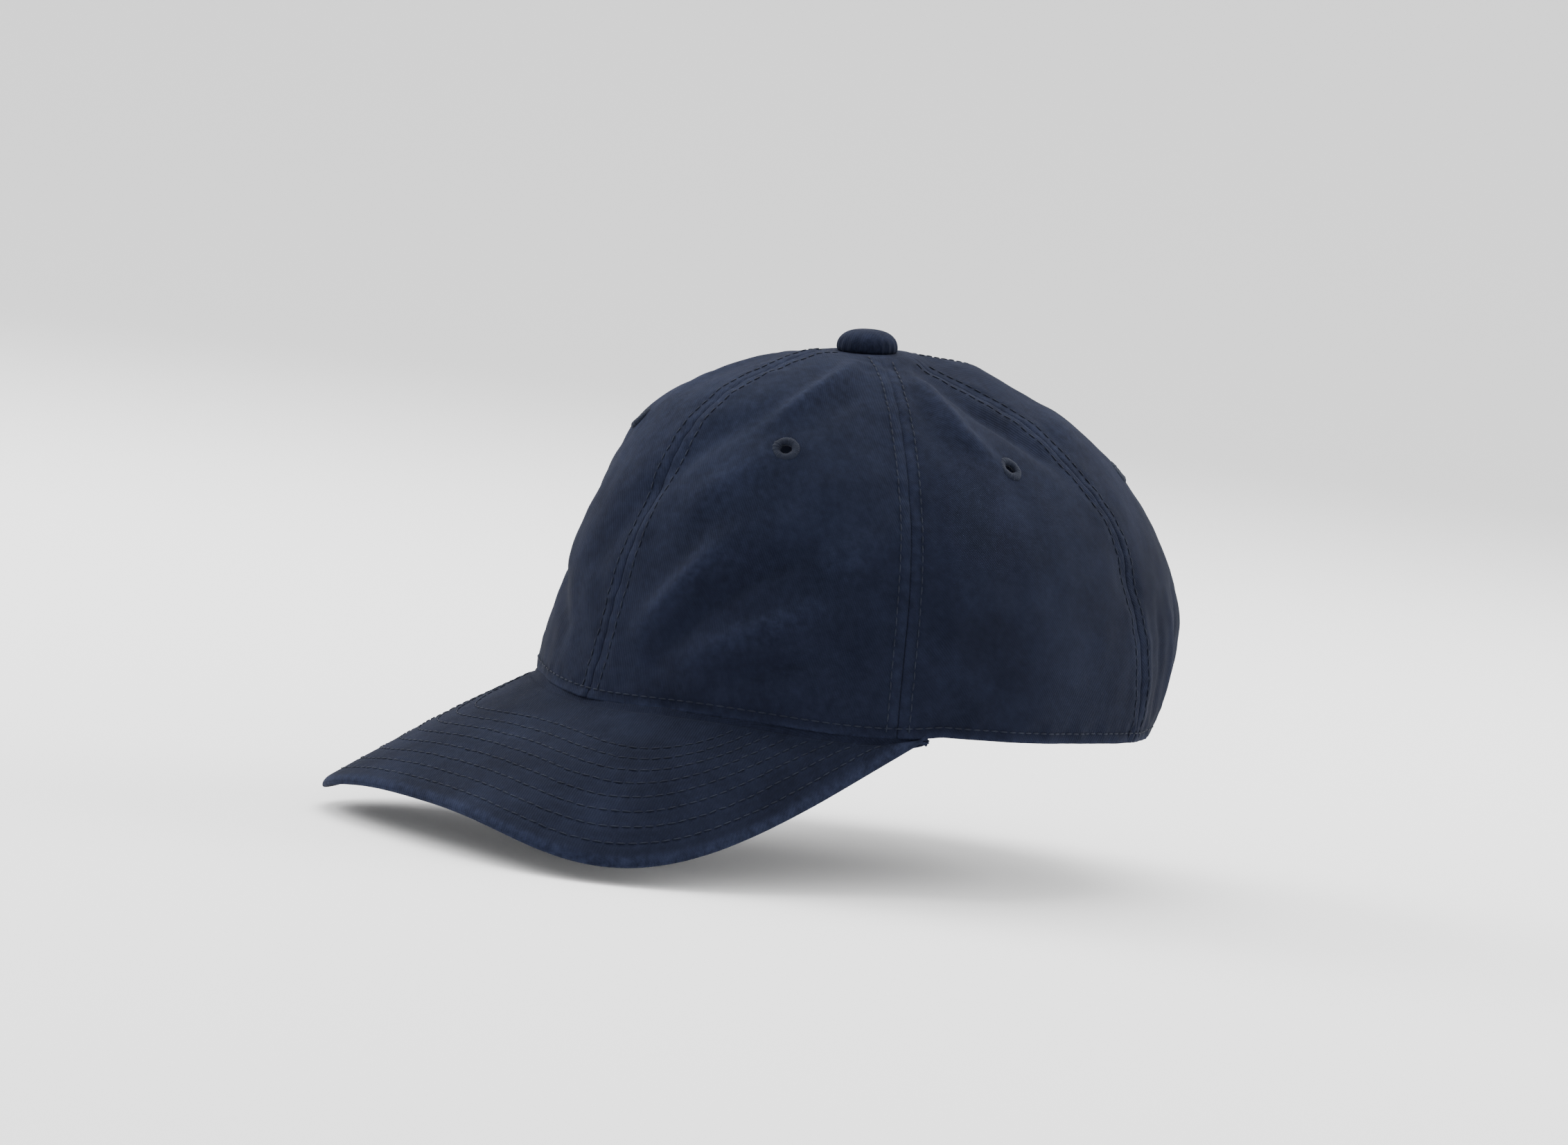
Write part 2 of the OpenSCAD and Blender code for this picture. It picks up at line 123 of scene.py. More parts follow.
def dense_ends(width: float, edge: float, fine: float, coarse: float) -> Grid:
    """Places across a width, close together near both ends.

    Args:
        width: The whole width.
        edge: How far in from each end the places stay close.
        fine: Pitch near the ends.
        coarse: Pitch between.

    Returns:
        Rising places from 0 to width.
    """
    near = steps(edge, fine)
    middle = edge + steps(width - 2 * edge, coarse)[1:-1]
    return np.concatenate([near, middle, (width - near)[::-1]])


@dataclass(frozen=True)
class Ripple:
    """Smooth random waves over the cloth, from a fixed seed."""

    seed: int
    shortest: float
    longest: float
    count: int = 14

    def at(self, p: Grid) -> Grid:
        """Height from about -1 to 1 at points in millimetres.

        Args:
            p: Points in millimetres.

        Returns:
            The height at each point.
        """
        rng = np.random.default_rng(self.seed)
        total = np.zeros(p.shape[:-1])
        for _ in range(self.count):
            way = unit(rng.normal(size=3))
            length = rng.uniform(self.shortest, self.longest)
            total += np.sin(p @ way * (2 * math.pi / length) + rng.uniform(0, 2 * math.pi))
        return total / math.sqrt(self.count)


# ---------------------------------------------------------------- forms


@dataclass(frozen=True)
class Fold:
    """A soft ridge or valley along a line on the crown.

    Each point is an angle from the front and a share of the way to the peak.
    """

    line: tuple[tuple[float, float], ...]
    height: float
    width: float


@dataclass(frozen=True)
class CrownForm:
    """The crown's surface, in millimetres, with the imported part's sizes.

    Each line holds a bulge at the foot, how high its lower handle is, how wide it is at its upper
    handle and how far that handle drops, for the front, the sides or the rear.
    """

    half_l: float = 100.0
    half_w: float = 84.5
    height: float = 105.5
    forward: float = 9.5
    seams: tuple[float, ...] = (0.0, 63.0, 120.0, 180.0, -63.0, -120.0)
    puff: float = 1.0
    front_line: tuple[float, ...] = (-0.13, 0.80, 0.69, 0.09)
    side_line: tuple[float, ...] = (0.0, 0.38, 0.87, 0.15)
    rear_line: tuple[float, ...] = (0.27, 0.49, 0.735, -0.06)
    seat_lean: float = 5.5
    seat_sink: float = 1.2
    seat_flat: float = 10.0
    seat_blend: float = 20.0
    bill_end: float = 71.0
    bill_slope: float = 0.51
    bill_curve: float = 30.8
    bill_power: float = 2.9
    arch_half_w: float = 38.0
    arch_h: float = 44.0

    def bill_top_z(self, x: Grid, y: Grid) -> Grid:
        """Height of the bill's upper face, carried on under the crown's edge.

        Args:
            x: Places to the wearer's left, in millimetres.
            y: Places towards the back.

        Returns:
            The height at each place.
        """
        end = math.radians(self.bill_end)
        sag = self.bill_curve * (np.abs(x) / (self.half_w * math.sin(end))) ** self.bill_power
        middle = self.bill_curve - self.bill_slope * self.half_l * (1 - math.cos(end))
        return middle + self.bill_slope * (y + self.half_l) - sag

    def edge_z(self, t: Grid) -> Grid:
        """Height of the crown's lower edge.

        Args:
            t: Angles from the front, in degrees.

        Returns:
            The height at each angle.
        """
        r = np.radians(t)
        on_bill = self.bill_top_z(self.half_w * np.sin(r), -self.half_l * np.cos(r))
        return np.where(np.abs(wrap(t)) < self.bill_end, on_bill, 0.0)

    def gore_share(self, t: Grid) -> Grid:
        """Share of the way across its gore at angle t."""
        stops = [0.0, self.seams[1], self.seams[2], 180.0]
        return np.interp(np.abs(wrap(t)), stops, [0.0, 1.0, 2.0, 3.0]) % 1.0

    def point(self, t: Grid, v: Grid) -> Grid:
        """Points of the smooth outer face at angle t and share v of the way to the peak.

        Args:
            t: Angles from the front, in degrees.
            v: Shares of the way to the peak.

        Returns:
            Points in millimetres.
        """
        t, v = np.broadcast_arrays(np.asarray(t, float), np.asarray(v, float))
        r = np.radians(t)
        c, s = np.cos(r), np.sin(r)
        weights = (np.maximum(c, 0) ** 2, s**2, np.maximum(-c, 0) ** 2)
        lines = (self.front_line, self.side_line, self.rear_line)
        bulge, low, wide, drop = (
            sum(w * line[k] for w, line in zip(weights, lines)) for k in range(4)
        )
        foot = self.edge_z(t)
        puff = self.puff * np.sin(np.pi * self.gore_share(t)) * np.sin(np.pi * np.clip(v, 0, 1))
        out = bezier(1.0, 1 + bulge, wide, 0.0, v) + puff / self.half_w
        z = bezier(foot, foot + self.height * low, self.height * (1 - drop), self.height, v)
        x = self.half_w * s * out
        y = -self.half_l * c * out - self.forward * (1 - out)
        rad = np.hypot(x, y + self.forward)
        flat = smooth(self.seat_blend, self.seat_flat, rad) * (v > 0.5)
        seat = self.height - self.seat_sink + math.tan(math.radians(self.seat_lean)) * (
            y + self.forward
        )
        return np.stack([x, y, z + (seat - z) * flat], axis=-1)

    def outward(self, t: Grid, v: Grid) -> Grid:
        """Outward directions of the smooth face.

        Args:
            t: Angles from the front, in degrees.
            v: Shares of the way to the peak.

        Returns:
            Directions of length 1.
        """
        along = self.point(t + 1.0, v) - self.point(t - 1.0, v)
        up = self.point(t, v + 0.01) - self.point(t, v - 0.01)
        return unit(np.cross(along, up))

    def mm_per_degree(self, t: Grid, v: Grid) -> Grid:
        """Width on the surface of one degree."""
        return np.linalg.norm(self.point(t + 0.5, v) - self.point(t - 0.5, v), axis=-1)

    def share_at_z(self, t: Grid, z: Grid) -> Grid:
        """Share v at which the crown reaches height z.

        Args:
            t: Angles from the front, in degrees.
            z: Heights in millimetres.

        Returns:
            The share at each angle and height.
        """
        t, z = np.broadcast_arrays(np.asarray(t, float), np.asarray(z, float))
        low, high = np.zeros(t.shape), np.full(t.shape, 0.9)
        for _ in range(22):
            mid = (low + high) / 2
            under = self.point(t, mid)[..., 2] < z
            low, high = np.where(under, mid, low), np.where(under, high, mid)
        return (low + high) / 2

    def base_arc(self) -> tuple[Grid, Grid]:
        """Angles from 0 to 180, and the distance along the lower edge to each.

        Returns:
            The angles in degrees, and the distances in millimetres.
        """
        t = np.linspace(0.0, 180.0, 721)
        r = np.radians(t)
        plan = np.stack([self.half_w * np.sin(r), self.half_l * np.cos(r)], axis=-1)
        return t, arc_length(plan)

    def rear_angle(self, u: Grid) -> Grid:
        """Angle at a distance from the back seam, towards the wearer's right."""
        return 180.0 + np.degrees(np.asarray(u, float) / self.half_w)

    def arch_z(self, t: Grid) -> Grid:
        """Height of the back opening at angle t, or 0 beside it."""
        u = np.radians(180.0 - np.abs(wrap(t))) * self.half_w / self.arch_half_w
        return self.arch_h * np.sqrt(np.clip(1 - u * u, 0.0, 1.0))


@dataclass(frozen=True)
class Cloth:
    """The washed cloth over the crown: seams, stitch channels, puckers and folds."""

    form: CrownForm
    folds: tuple[Fold, ...]
    allowance: float = 6.5
    allowance_h: float = 0.08
    groove: float = 0.24
    groove_w: float = 0.6
    stitch_off: float = 3.4
    channel: float = 0.10
    channel_w: float = 0.75
    pucker: float = 0.20
    pucker_w: float = 4.5
    hem_off: float = 3.0
    hem_h: float = 12.0
    hem_t: float = 0.35
    hem_pucker: float = 0.22
    slack: float = 0.6
    crumple: float = 0.13
    calm_r: tuple[float, float] = (10.0, 24.0)
    crest: float = 2.0
    crest_r: tuple[float, float] = (62.0, 26.0)
    crest_low: float = 0.3
    crest_seat: float = 0.55
    crest_way: float = -40.0

    def seam_relief(self, t: Grid, v: Grid, p: Grid) -> Grid:
        """Height from every seam: raised allowances, a groove, two channels and puckers.

        Args:
            t: Angles from the front, in degrees.
            v: Shares of the way to the peak.
            p: Points of the smooth face, in millimetres.

        Returns:
            The height at each point.
        """
        scale = self.form.mm_per_degree(t, v)
        along = Ripple(5, 6.0, 11.0, 10).at(p)
        total = np.zeros(v.shape)
        for seam in self.form.seams:
            x = np.abs(wrap(t - seam)) * scale
            total += self.allowance_h * smooth(self.allowance + 2.0, self.allowance - 1.0, x)
            total -= self.groove * bell(x, self.groove_w)
            total -= self.channel * bell(x - self.stitch_off, self.channel_w)
            total += self.pucker * along * bell(x - 0.6 * self.stitch_off, self.pucker_w)
        return total

    def hem_relief(self, t: Grid, v: Grid, p: Grid) -> Grid:
        """Height from the turned hem along the lower edge.

        Args:
            t: Angles from the front, in degrees.
            v: Shares of the way to the peak.
            p: Points of the smooth face, in millimetres.

        Returns:
            The height at each point.
        """
        up = np.linalg.norm(p - self.form.point(t, np.zeros(v.shape)), axis=-1)
        tuck = Ripple(9, 5.0, 9.0, 10).at(p)
        rise = self.hem_t * smooth(self.hem_h, self.hem_h - 3.0, up)
        rise -= self.channel * bell(up - self.hem_off, 0.7)
        return rise + self.hem_pucker * tuck * bell(up - self.hem_off, 4.0)

    def ridge(self, fold: Fold) -> tuple[Grid, Grid]:
        """Shares along a fold, and the points of its line on the smooth face.

        Args:
            fold: The fold.

        Returns:
            The shares, and the points in millimetres.
        """
        stops = np.linspace(0, 1, len(fold.line))
        shares = np.linspace(0, 1, 48)
        t = np.interp(shares, stops, [angle for angle, _ in fold.line])
        v = np.interp(shares, stops, [high for _, high in fold.line])
        return shares, self.form.point(t, v)

    def fold_relief(self, p: Grid) -> Grid:
        """Height from the listed folds.

        Args:
            p: Points of the smooth face, in millimetres.

        Returns:
            The height at each point.
        """
        total = np.zeros(p.shape[:-1])
        for fold in self.folds:
            shares, ridge = self.ridge(fold)
            away = np.full(p.shape[:-1], np.inf)
            along = np.zeros(p.shape[:-1])
            for share, q in zip(shares, ridge):
                d = np.linalg.norm(p - q, axis=-1)
                near = d < away
                away = np.where(near, d, away)
                along = np.where(near, share, along)
            taper = np.clip(np.sin(np.pi * np.clip(along, 0.04, 0.96)), 0, 1) ** 0.5
            total += fold.height * taper * bell(away, fold.width)
        return total

    def relief(self, t: Grid, v: Grid) -> Grid:
        """Height in millimetres of the cloth over the smooth form.

        Args:
            t: Angles from the front, in degrees.
            v: Shares of the way to the peak.

        Returns:
            The height at each point.
        """
        p = self.form.point(t, v)
        rad = np.hypot(p[..., 0], p[..., 1] + self.form.forward)
        calm = smooth(*self.calm_r, rad)
        facing = 0.5 + 0.5 * np.cos(np.radians(t - self.crest_way))
        ahead = self.crest_low + (1.0 - self.crest_low) * facing
        level = self.crest_seat + (ahead - self.crest_seat) * smooth(9.0, 24.0, rad)
        crest = smooth(*self.crest_r, rad) * level
        waves = self.slack * Ripple(3, 30.0, 70.0).at(p) + self.crumple * Ripple(4, 7.0, 16.0).at(p)
        lumps = self.seam_relief(t, v, p) + self.hem_relief(t, v, p) + self.fold_relief(p)
        return calm * (waves + lumps) + self.crest * crest

    def point(self, t: Grid, v: Grid, depth: float = 0.0) -> Grid:
        """Points of the cloth's outer face, or a depth below it."""
        return self.form.point(t, v) + (self.relief(t, v) - depth)[..., None] * self.form.outward(t, v)


@dataclass(frozen=True)
class BillForm:
    """The bill's surface, in millimetres.

    Its rim stands a little higher, and its edge is thinner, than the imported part's.
    """

    crown: CrownForm
    reach: float = 120.5
    corner: float = 3.0
    squareness: float = 3.9
    end: float = 69.0
    gap: float = 0.5
    thickness: float = 3.2
    lift: float = 2.4
    lift_end: float = 0.6
    rows: int = 8
    first_row: float = 6.0
    row_pitch: float = 6.2

    def rim(self, a: Grid) -> Grid:
        """Plan points of the outline at a, from -90 to 90 degrees round the rim.

        Args:
            a: Places round the rim, from -90 to 90 degrees.

        Returns:
            Pairs of X and Y in millimetres.
        """
        end = math.radians(self.end)
        r = np.radians(a)
        w = self.crown.half_w * math.sin(end)
        ahead = np.maximum(np.cos(r), 0.0)
        n = self.squareness
        out = ((np.abs(np.sin(r)) / w) ** n + (ahead / self.reach) ** n) ** (-1 / n)
        y = -self.crown.half_l * math.cos(end) - self.corner - out * np.cos(r)
        return np.stack([out * np.sin(r), y], axis=-1)

    def foot(self, a: Grid) -> Grid:
        """Plan points where the bill meets the crown."""
        t = np.radians(a / 90.0 * self.end)
        return np.stack([self.crown.half_w * np.sin(t), -self.crown.half_l * np.cos(t)], axis=-1)

    def point(self, a: Grid, s: Grid) -> Grid:
        """Points of the upper face at share s of the way from the crown to the rim.

        Args:
            a: Places round the rim, from -90 to 90 degrees.
            s: Shares of the way from the crown to the rim.

        Returns:
            Points in millimetres.
        """
        plan = self.foot(a) * (1 - s[..., None]) + self.rim(a) * s[..., None]
        z = self.crown.bill_top_z(plan[..., 0], plan[..., 1]) - self.gap
        z += self.lift * smooth(0.0, self.lift_end, s)
        return np.concatenate([plan, z[..., None]], axis=-1)

    def run(self, a: Grid) -> Grid:
        """Length of the bill from the crown to the rim at a."""
        one = np.ones(a.shape)
        return np.linalg.norm(self.point(a, one) - self.point(a, 0 * one), axis=-1)

    def inset(self, a: Grid, s: Grid) -> Grid:
        """Distance in from the bill's outline, at the rim and at both ends."""
        ends = self.crown.half_w * math.sin(math.radians(self.end))
        return np.minimum((1 - s) * self.run(a), ends - np.abs(self.point(a, s)[..., 0]))

    def even_angles(self, pitch: float) -> Grid:
        """Values of a that are evenly spaced round the rim.

        Args:
            pitch: Distance between neighbours, in millimetres.

        Returns:
            Rising places round the rim.
        """
        a = np.linspace(-90.0, 90.0, 2001)
        p = self.point(a, np.ones(a.shape))
        arc = arc_length(p)
        return np.interp(steps(arc[-1], pitch), arc, a)

    def row_places(self) -> Grid:
        """Distance of each stitched row from the rim."""
        return self.first_row + self.row_pitch * np.arange(self.rows)


# ---------------------------------------------------------------- finishes


def new_material(name: str) -> tuple[bpy.types.Material, bpy.types.ShaderNode]:
    """A material with nothing but a Principled BSDF, and that shader.

    Args:
        name: Its name.

    Returns:
        The material and its shader.
    """
    material = bpy.data.materials.new(name)
    material.use_nodes = True
    return material, material.node_tree.nodes["Principled BSDF"]


def set_inputs(node: bpy.types.Node, **values: object) -> None:
    """Sets a node's inputs; an underscore in a name stands for a space."""
    for key, value in values.items():
        node.inputs[key.replace("_", " ")].default_value = value


class Wiring:
    """Short ways to add and join nodes in one tree."""

    def __init__(self, tree: bpy.types.NodeTree) -> None:
        """Takes the tree to wire."""
        self.tree = tree

    def add(self, kind: str, **settings: object) -> bpy.types.Node:
        """A new node of a kind, with its settings.

        Args:
            kind: The node's type.
            settings: Properties to set on it.

        Returns:
            The node.
        """
        node = self.tree.nodes.new(kind)
        for key, value in settings.items():
            setattr(node, key, value)
        return node

    def join(self, source: bpy.types.NodeSocket, target: bpy.types.NodeSocket) -> None:
        """Links one socket to another."""
        self.tree.links.new(source, target)

    def maths(self, operation: str, *inputs: object) -> bpy.types.NodeSocket:
        """The output of a Math node whose inputs are sockets or numbers.

        Args:
            operation: What the node works out.
            inputs: A socket or a number for each input.

        Returns:
            The node's output.
        """
        node = self.add("ShaderNodeMath", operation=operation)
        for socket, value in zip(node.inputs, inputs):
            if isinstance(value, bpy.types.NodeSocket):
                self.join(value, socket)
            else:
                socket.default_value = value
        return node.outputs[0]

    def noise(self, vector: bpy.types.NodeSocket, scale: float, detail: float) -> bpy.types.NodeSocket:
        """The value of a Noise Texture.

        Args:
            vector: Where the noise is read.
            scale: How fine it is.
            detail: How many finer layers it has.

        Returns:
            The noise, from 0 to 1.
        """
        node = self.add("ShaderNodeTexNoise")
        set_inputs(node, Scale=scale, Detail=detail, Roughness=0.6)
        self.join(vector, node.inputs["Vector"])
        return node.outputs["Fac"]

    def remap(self, value: bpy.types.NodeSocket, low: float, high: float) -> bpy.types.NodeSocket:
        """A value stretched so that low becomes 0 and high becomes 1.

        Args:
            value: The value.
            low: What becomes 0.
            high: What becomes 1.

        Returns:
            The stretched value, kept between 0 and 1.
        """
        node = self.add("ShaderNodeMapRange")
        set_inputs(node, From_Min=low, From_Max=high)
        self.join(value, node.inputs["Value"])
        return node.outputs["Result"]

    def blend(self, share: bpy.types.NodeSocket, a: object, b: object) -> bpy.types.NodeSocket:
        """Colour a mixed towards b; each is a socket or a colour.

        Args:
            share: How far towards b.
            a: The first colour.
            b: The second colour.

        Returns:
            The blended colour.
        """
        node = self.add("ShaderNodeMix", data_type="RGBA")
        self.join(share, node.inputs["Factor"])
        for socket, value in ((node.inputs[6], a), (node.inputs[7], b)):
            if isinstance(value, bpy.types.NodeSocket):
                self.join(value, socket)
            else:
                socket.default_value = (*value, 1.0)
        return node.outputs[2]

    def bump(self, height: bpy.types.NodeSocket, distance: float, shader: bpy.types.ShaderNode,
             strength: float = 1.0) -> None:
        """Makes a height between 0 and 1 stand out on a shader.

        Args:
            height: The height.
            distance: How far a height of 1 stands out, in metres.
            shader: The shader that it shows on.
            strength: How strongly it shows.
        """
        node = self.add("ShaderNodeBump")
        set_inputs(node, Distance=distance, Strength=strength)
        self.join(height, node.inputs["Height"])
        self.join(node.outputs[0], shader.inputs["Normal"])


def group_tree(name: str, inputs: dict[str, float], outputs: tuple[str, ...]) -> bpy.types.NodeTree:
    """A shader group with named number inputs, a Vector input and number outputs.

    Args:
        name: Its name.
        inputs: The name and default of each number input.
        outputs: The name of each output.

    Returns:
        The group, with nothing wired.
    """
    tree = bpy.data.node_groups.new(name, "ShaderNodeTree")
    tree.interface.new_socket("Vector", in_out="INPUT", socket_type="NodeSocketVector")
    for key, value in inputs.items():
        socket = tree.interface.new_socket(key, in_out="INPUT", socket_type="NodeSocketFloat")
        socket.default_value = value
    for key in outputs:
        tree.interface.new_socket(key, in_out="OUTPUT", socket_type="NodeSocketFloat")
    return tree


def twill_group() -> bpy.types.NodeTree:
    """Twill weave in cloth coordinates of one unit per metre.

    Returns:
        A group with Pitch and Slub inputs. Height is the relief of the ribs and Shade is how
        much of the pale weft shows.
    """
    tree = group_tree("twill_weave", {"Pitch": 0.0009, "Slub": 0.12}, ("Height", "Shade"))
    w = Wiring(tree)
    start = w.add("NodeGroupInput")
    end = w.add("NodeGroupOutput")
    split = w.add("ShaderNodeSeparateXYZ")
    w.join(start.outputs["Vector"], split.inputs[0])
    turn = w.maths("DIVIDE", 2 * math.pi, start.outputs["Pitch"])
    wander = w.maths("MULTIPLY", w.noise(start.outputs["Vector"], 900.0, 2.0), 2.2)
    x, y = split.outputs[0], split.outputs[1]
    diagonal = w.maths("MULTIPLY", w.maths("ADD", x, w.maths("MULTIPLY", y, 0.62)), turn)
    rib = w.maths("SINE", w.maths("ADD", diagonal, wander))
    weft = w.maths("MULTIPLY", w.maths("SUBTRACT", y, x), w.maths("MULTIPLY", turn, 1.9))
    across = w.maths("SINE", weft)
    weave = w.maths("ADD", w.maths("MULTIPLY", rib, 0.6), w.maths("MULTIPLY", across, 0.25))
    stretch = w.add("ShaderNodeVectorMath", operation="MULTIPLY")
    w.join(start.outputs["Vector"], stretch.inputs[0])
    stretch.inputs[1].default_value = (1.0, 0.12, 1.0)
    slub = w.maths("MULTIPLY", w.noise(stretch.outputs[0], 1500.0, 3.0), start.outputs["Slub"])
    height = w.maths("ADD", w.maths("ADD", w.maths("MULTIPLY", weave, 0.5), 0.5), slub)
    shade = w.maths("ADD", w.maths("MULTIPLY", across, 0.3), w.maths("ADD", slub, 0.3))
    w.join(height, end.inputs["Height"])
    w.join(shade, end.inputs["Shade"])
    return tree


def wash_group() -> bpy.types.NodeTree:
    """Uneven fading of garment-washed cotton, on Object coordinates.

    Returns:
        A group with an input for the rubbed places, which on the crown also hold painted light, and an
        output from 0 to 1 of how far the cloth turns pale.
    """
    tree = group_tree("garment_wash", {"Wear": 0.0, "Cloud": 0.35}, ("Fade",))
    w = Wiring(tree)
    start = w.add("NodeGroupInput")
    end = w.add("NodeGroupOutput")
    place = start.outputs["Vector"]
    cloud = w.remap(w.noise(place, 42.0, 5.0), 0.38, 0.72)
    grain = w.remap(w.noise(place, 420.0, 4.0), 0.35, 0.75)
    patchy = w.maths("MULTIPLY", cloud, start.outputs["Cloud"])
    grain_breakup = w.maths("ADD", w.maths("MULTIPLY", grain, 0.9), 0.35)
    broken = w.maths("MULTIPLY", start.outputs["Wear"], grain_breakup)
    fade_wear_and_painted_light = w.maths("ADD", w.maths("ADD", patchy, broken), w.maths("MULTIPLY", grain, 0.12))
    clamp = w.add("ShaderNodeClamp")
    w.join(fade_wear_and_painted_light, clamp.inputs["Value"])
    w.join(clamp.outputs[0], end.inputs["Fade"])
    return tree


@dataclass(frozen=True)
class ClothFinish:
    """Woven cotton, dyed and washed."""

    name: str
    dye: tuple[float, float, float]
    # The pale tone that the wash, wear and, on the crown, painted light mix the dye towards.
    pale_tone: tuple[float, float, float]
    pitch: float = 0.0009
    relief: float = 0.00012
    cloud: float = 0.35
    roughness: float = 0.88
    sheen: float = 0.012

    def build(self, twill: bpy.types.NodeTree, wash: bpy.types.NodeTree) -> bpy.types.Material:
        """Builds the material from the shared weave and wash groups.

        Args:
            twill: The weave group.
            wash: The wash group.

        Returns:
            The material.
        """
        material, shader = new_material(self.name)
        w = Wiring(material.node_tree)
        place = w.add("ShaderNodeTexCoord")
        # This attribute holds wear and, on the crown, painted light that makes the twill paler towards
        # the top.
        wear_and_painted_light_node = w.add("ShaderNodeAttribute", attribute_name="wear")
        weave = w.add("ShaderNodeGroup", node_tree=twill)
        set_inputs(weave, Pitch=self.pitch)
        washed = w.add("ShaderNodeGroup", node_tree=wash)
        set_inputs(washed, Cloud=self.cloud)
        w.join(place.outputs["UV"], weave.inputs["Vector"])
        w.join(place.outputs["Object"], washed.inputs["Vector"])
        w.join(wear_and_painted_light_node.outputs["Fac"], washed.inputs["Wear"])
        tone = w.blend(washed.outputs["Fade"], self.dye, self.pale_tone)
        shade = w.maths("MULTIPLY", weave.outputs["Shade"], 0.35)
        w.join(w.blend(shade, tone, self.pale_tone), shader.inputs["Base Color"])
        rough = w.maths("ADD", w.maths("MULTIPLY", weave.outputs["Height"], -0.08), self.roughness)
        w.join(rough, shader.inputs["Roughness"])
        w.bump(weave.outputs["Height"], self.relief, shader, 0.9)
        set_inputs(shader, Sheen_Weight=self.sheen, Sheen_Roughness=0.55,
                   Sheen_Tint=(0.62, 0.70, 0.85, 1.0), Specular_IOR_Level=0.04,
                   Specular_Tint=(0.55, 0.68, 1.0, 1.0))
        return material


@dataclass(frozen=True)
class ThreadFinish:
    """Spun sewing thread with fine plies."""

    name: str
    dye: tuple[float, float, float]
    pale_tone: tuple[float, float, float]

    def build(self, wash: bpy.types.NodeTree) -> bpy.types.Material:
        """Builds the material from the shared wash group.

        Args:
            wash: The wash group.

        Returns:
            The material.
        """
        material, shader = new_material(self.name)
        w = Wiring(material.node_tree)
        place = w.add("ShaderNodeTexCoord")
        washed = w.add("ShaderNodeGroup", node_tree=wash)
        set_inputs(washed, Cloud=0.6)
        w.join(place.outputs["Object"], washed.inputs["Vector"])
        w.join(w.blend(washed.outputs["Fade"], self.dye, self.pale_tone), shader.inputs["Base Color"])
        w.bump(w.noise(place.outputs["Object"], 5200.0, 2.0), 0.00008, shader)
        set_inputs(shader, Roughness=0.7, Sheen_Weight=0.015, Specular_IOR_Level=0.08)
        return material


@dataclass(frozen=True)
class MetalFinish:
    """Plated metal, rubbed and lightly spotted."""

    name: str
    bright: tuple[float, float, float]
    tarnish: tuple[float, float, float]

    def build(self) -> bpy.types.Material:
        """Builds the material.

        Returns:
            The material.
        """
        material, shader = new_material(self.name)
        w = Wiring(material.node_tree)
        place = w.add("ShaderNodeTexCoord")
        spots = w.remap(w.noise(place.outputs["Object"], 260.0, 6.0), 0.42, 0.66)
        w.join(w.blend(spots, self.bright, self.tarnish), shader.inputs["Base Color"])
        rough = w.maths("ADD", w.maths("MULTIPLY", spots, 0.25), 0.27)
        w.join(rough, shader.inputs["Roughness"])
        brushed = w.add("ShaderNodeMapping")
        set_inputs(brushed, Scale=(1.0, 1.0, 30.0))
        w.join(place.outputs["Object"], brushed.inputs["Vector"])
        w.bump(w.noise(brushed.outputs[0], 900.0, 3.0), 0.00002, shader)
        set_inputs(shader, Metallic=1.0)
        return material


class Wardrobe:
    """Every finish of the cap, built once."""

    def __init__(self) -> None:
        """Builds the shared groups and the materials."""
        twill, wash = twill_group(), wash_group()
        navy = ClothFinish("washed_navy_twill", (0.0036, 0.0042, 0.0086), (0.0155, 0.0192, 0.0380))
        tape = ClothFinish("woven_seam_tape", (0.003, 0.004, 0.008), (0.009, 0.012, 0.021), 0.0006)
        band = ClothFinish("sweatband_cotton", (0.0045, 0.006, 0.012), (0.012, 0.017, 0.029), 0.0007)
        label = ClothFinish("label_satin", (0.62, 0.62, 0.60), (0.75, 0.75, 0.73), 0.0004, cloud=0.1)
        thread = ThreadFinish("navy_thread", (0.0085, 0.0105, 0.0190), (0.0220, 0.0280, 0.0460))
        brass = MetalFinish("antique_brass", (0.25, 0.165, 0.07), (0.15, 0.098, 0.045))
        self.twill = navy.build(twill, wash)
        self.tape = tape.build(twill, wash)
        self.band = band.build(twill, wash)
        self.label = label.build(twill, wash)
        self.thread = thread.build(wash)
        self.brass = brass.build()


# ---------------------------------------------------------------- mesh helpers


def write_places(mesh: bpy.types.Mesh, places: Grid) -> None:
    """Moves a mesh's vertices to places in millimetres."""
    mesh.vertices.foreach_set("co", np.ascontiguousarray(places * MM, dtype=np.float32).ravel())
    mesh.update()


def write_cloth_map(mesh: bpy.types.Mesh, spots: Grid) -> None:
    """Gives a mesh its cloth coordinates, one unit per metre, from one pair a vertex.

    Args:
        mesh: The mesh.
        spots: A pair in millimetres for each vertex.
    """
    layer = mesh.uv_layers.new(name="cloth")
    corner = np.empty(len(mesh.loops), dtype=np.int32)
    mesh.loops.foreach_get("vertex_index", corner)
    layer.data.foreach_set("uv", np.ascontiguousarray(spots[corner] * MM, np.float32).ravel())


def write_wear_and_painted_light(mesh: bpy.types.Mesh, wear: Grid) -> None:
    """Stores how rubbed each vertex is, with any painted light added, from 0 to 1."""
    layer = mesh.attributes.new("wear", "FLOAT", "POINT")
    layer.data.foreach_set("value", np.clip(wear, 0.0, 1.0).astype(np.float32))


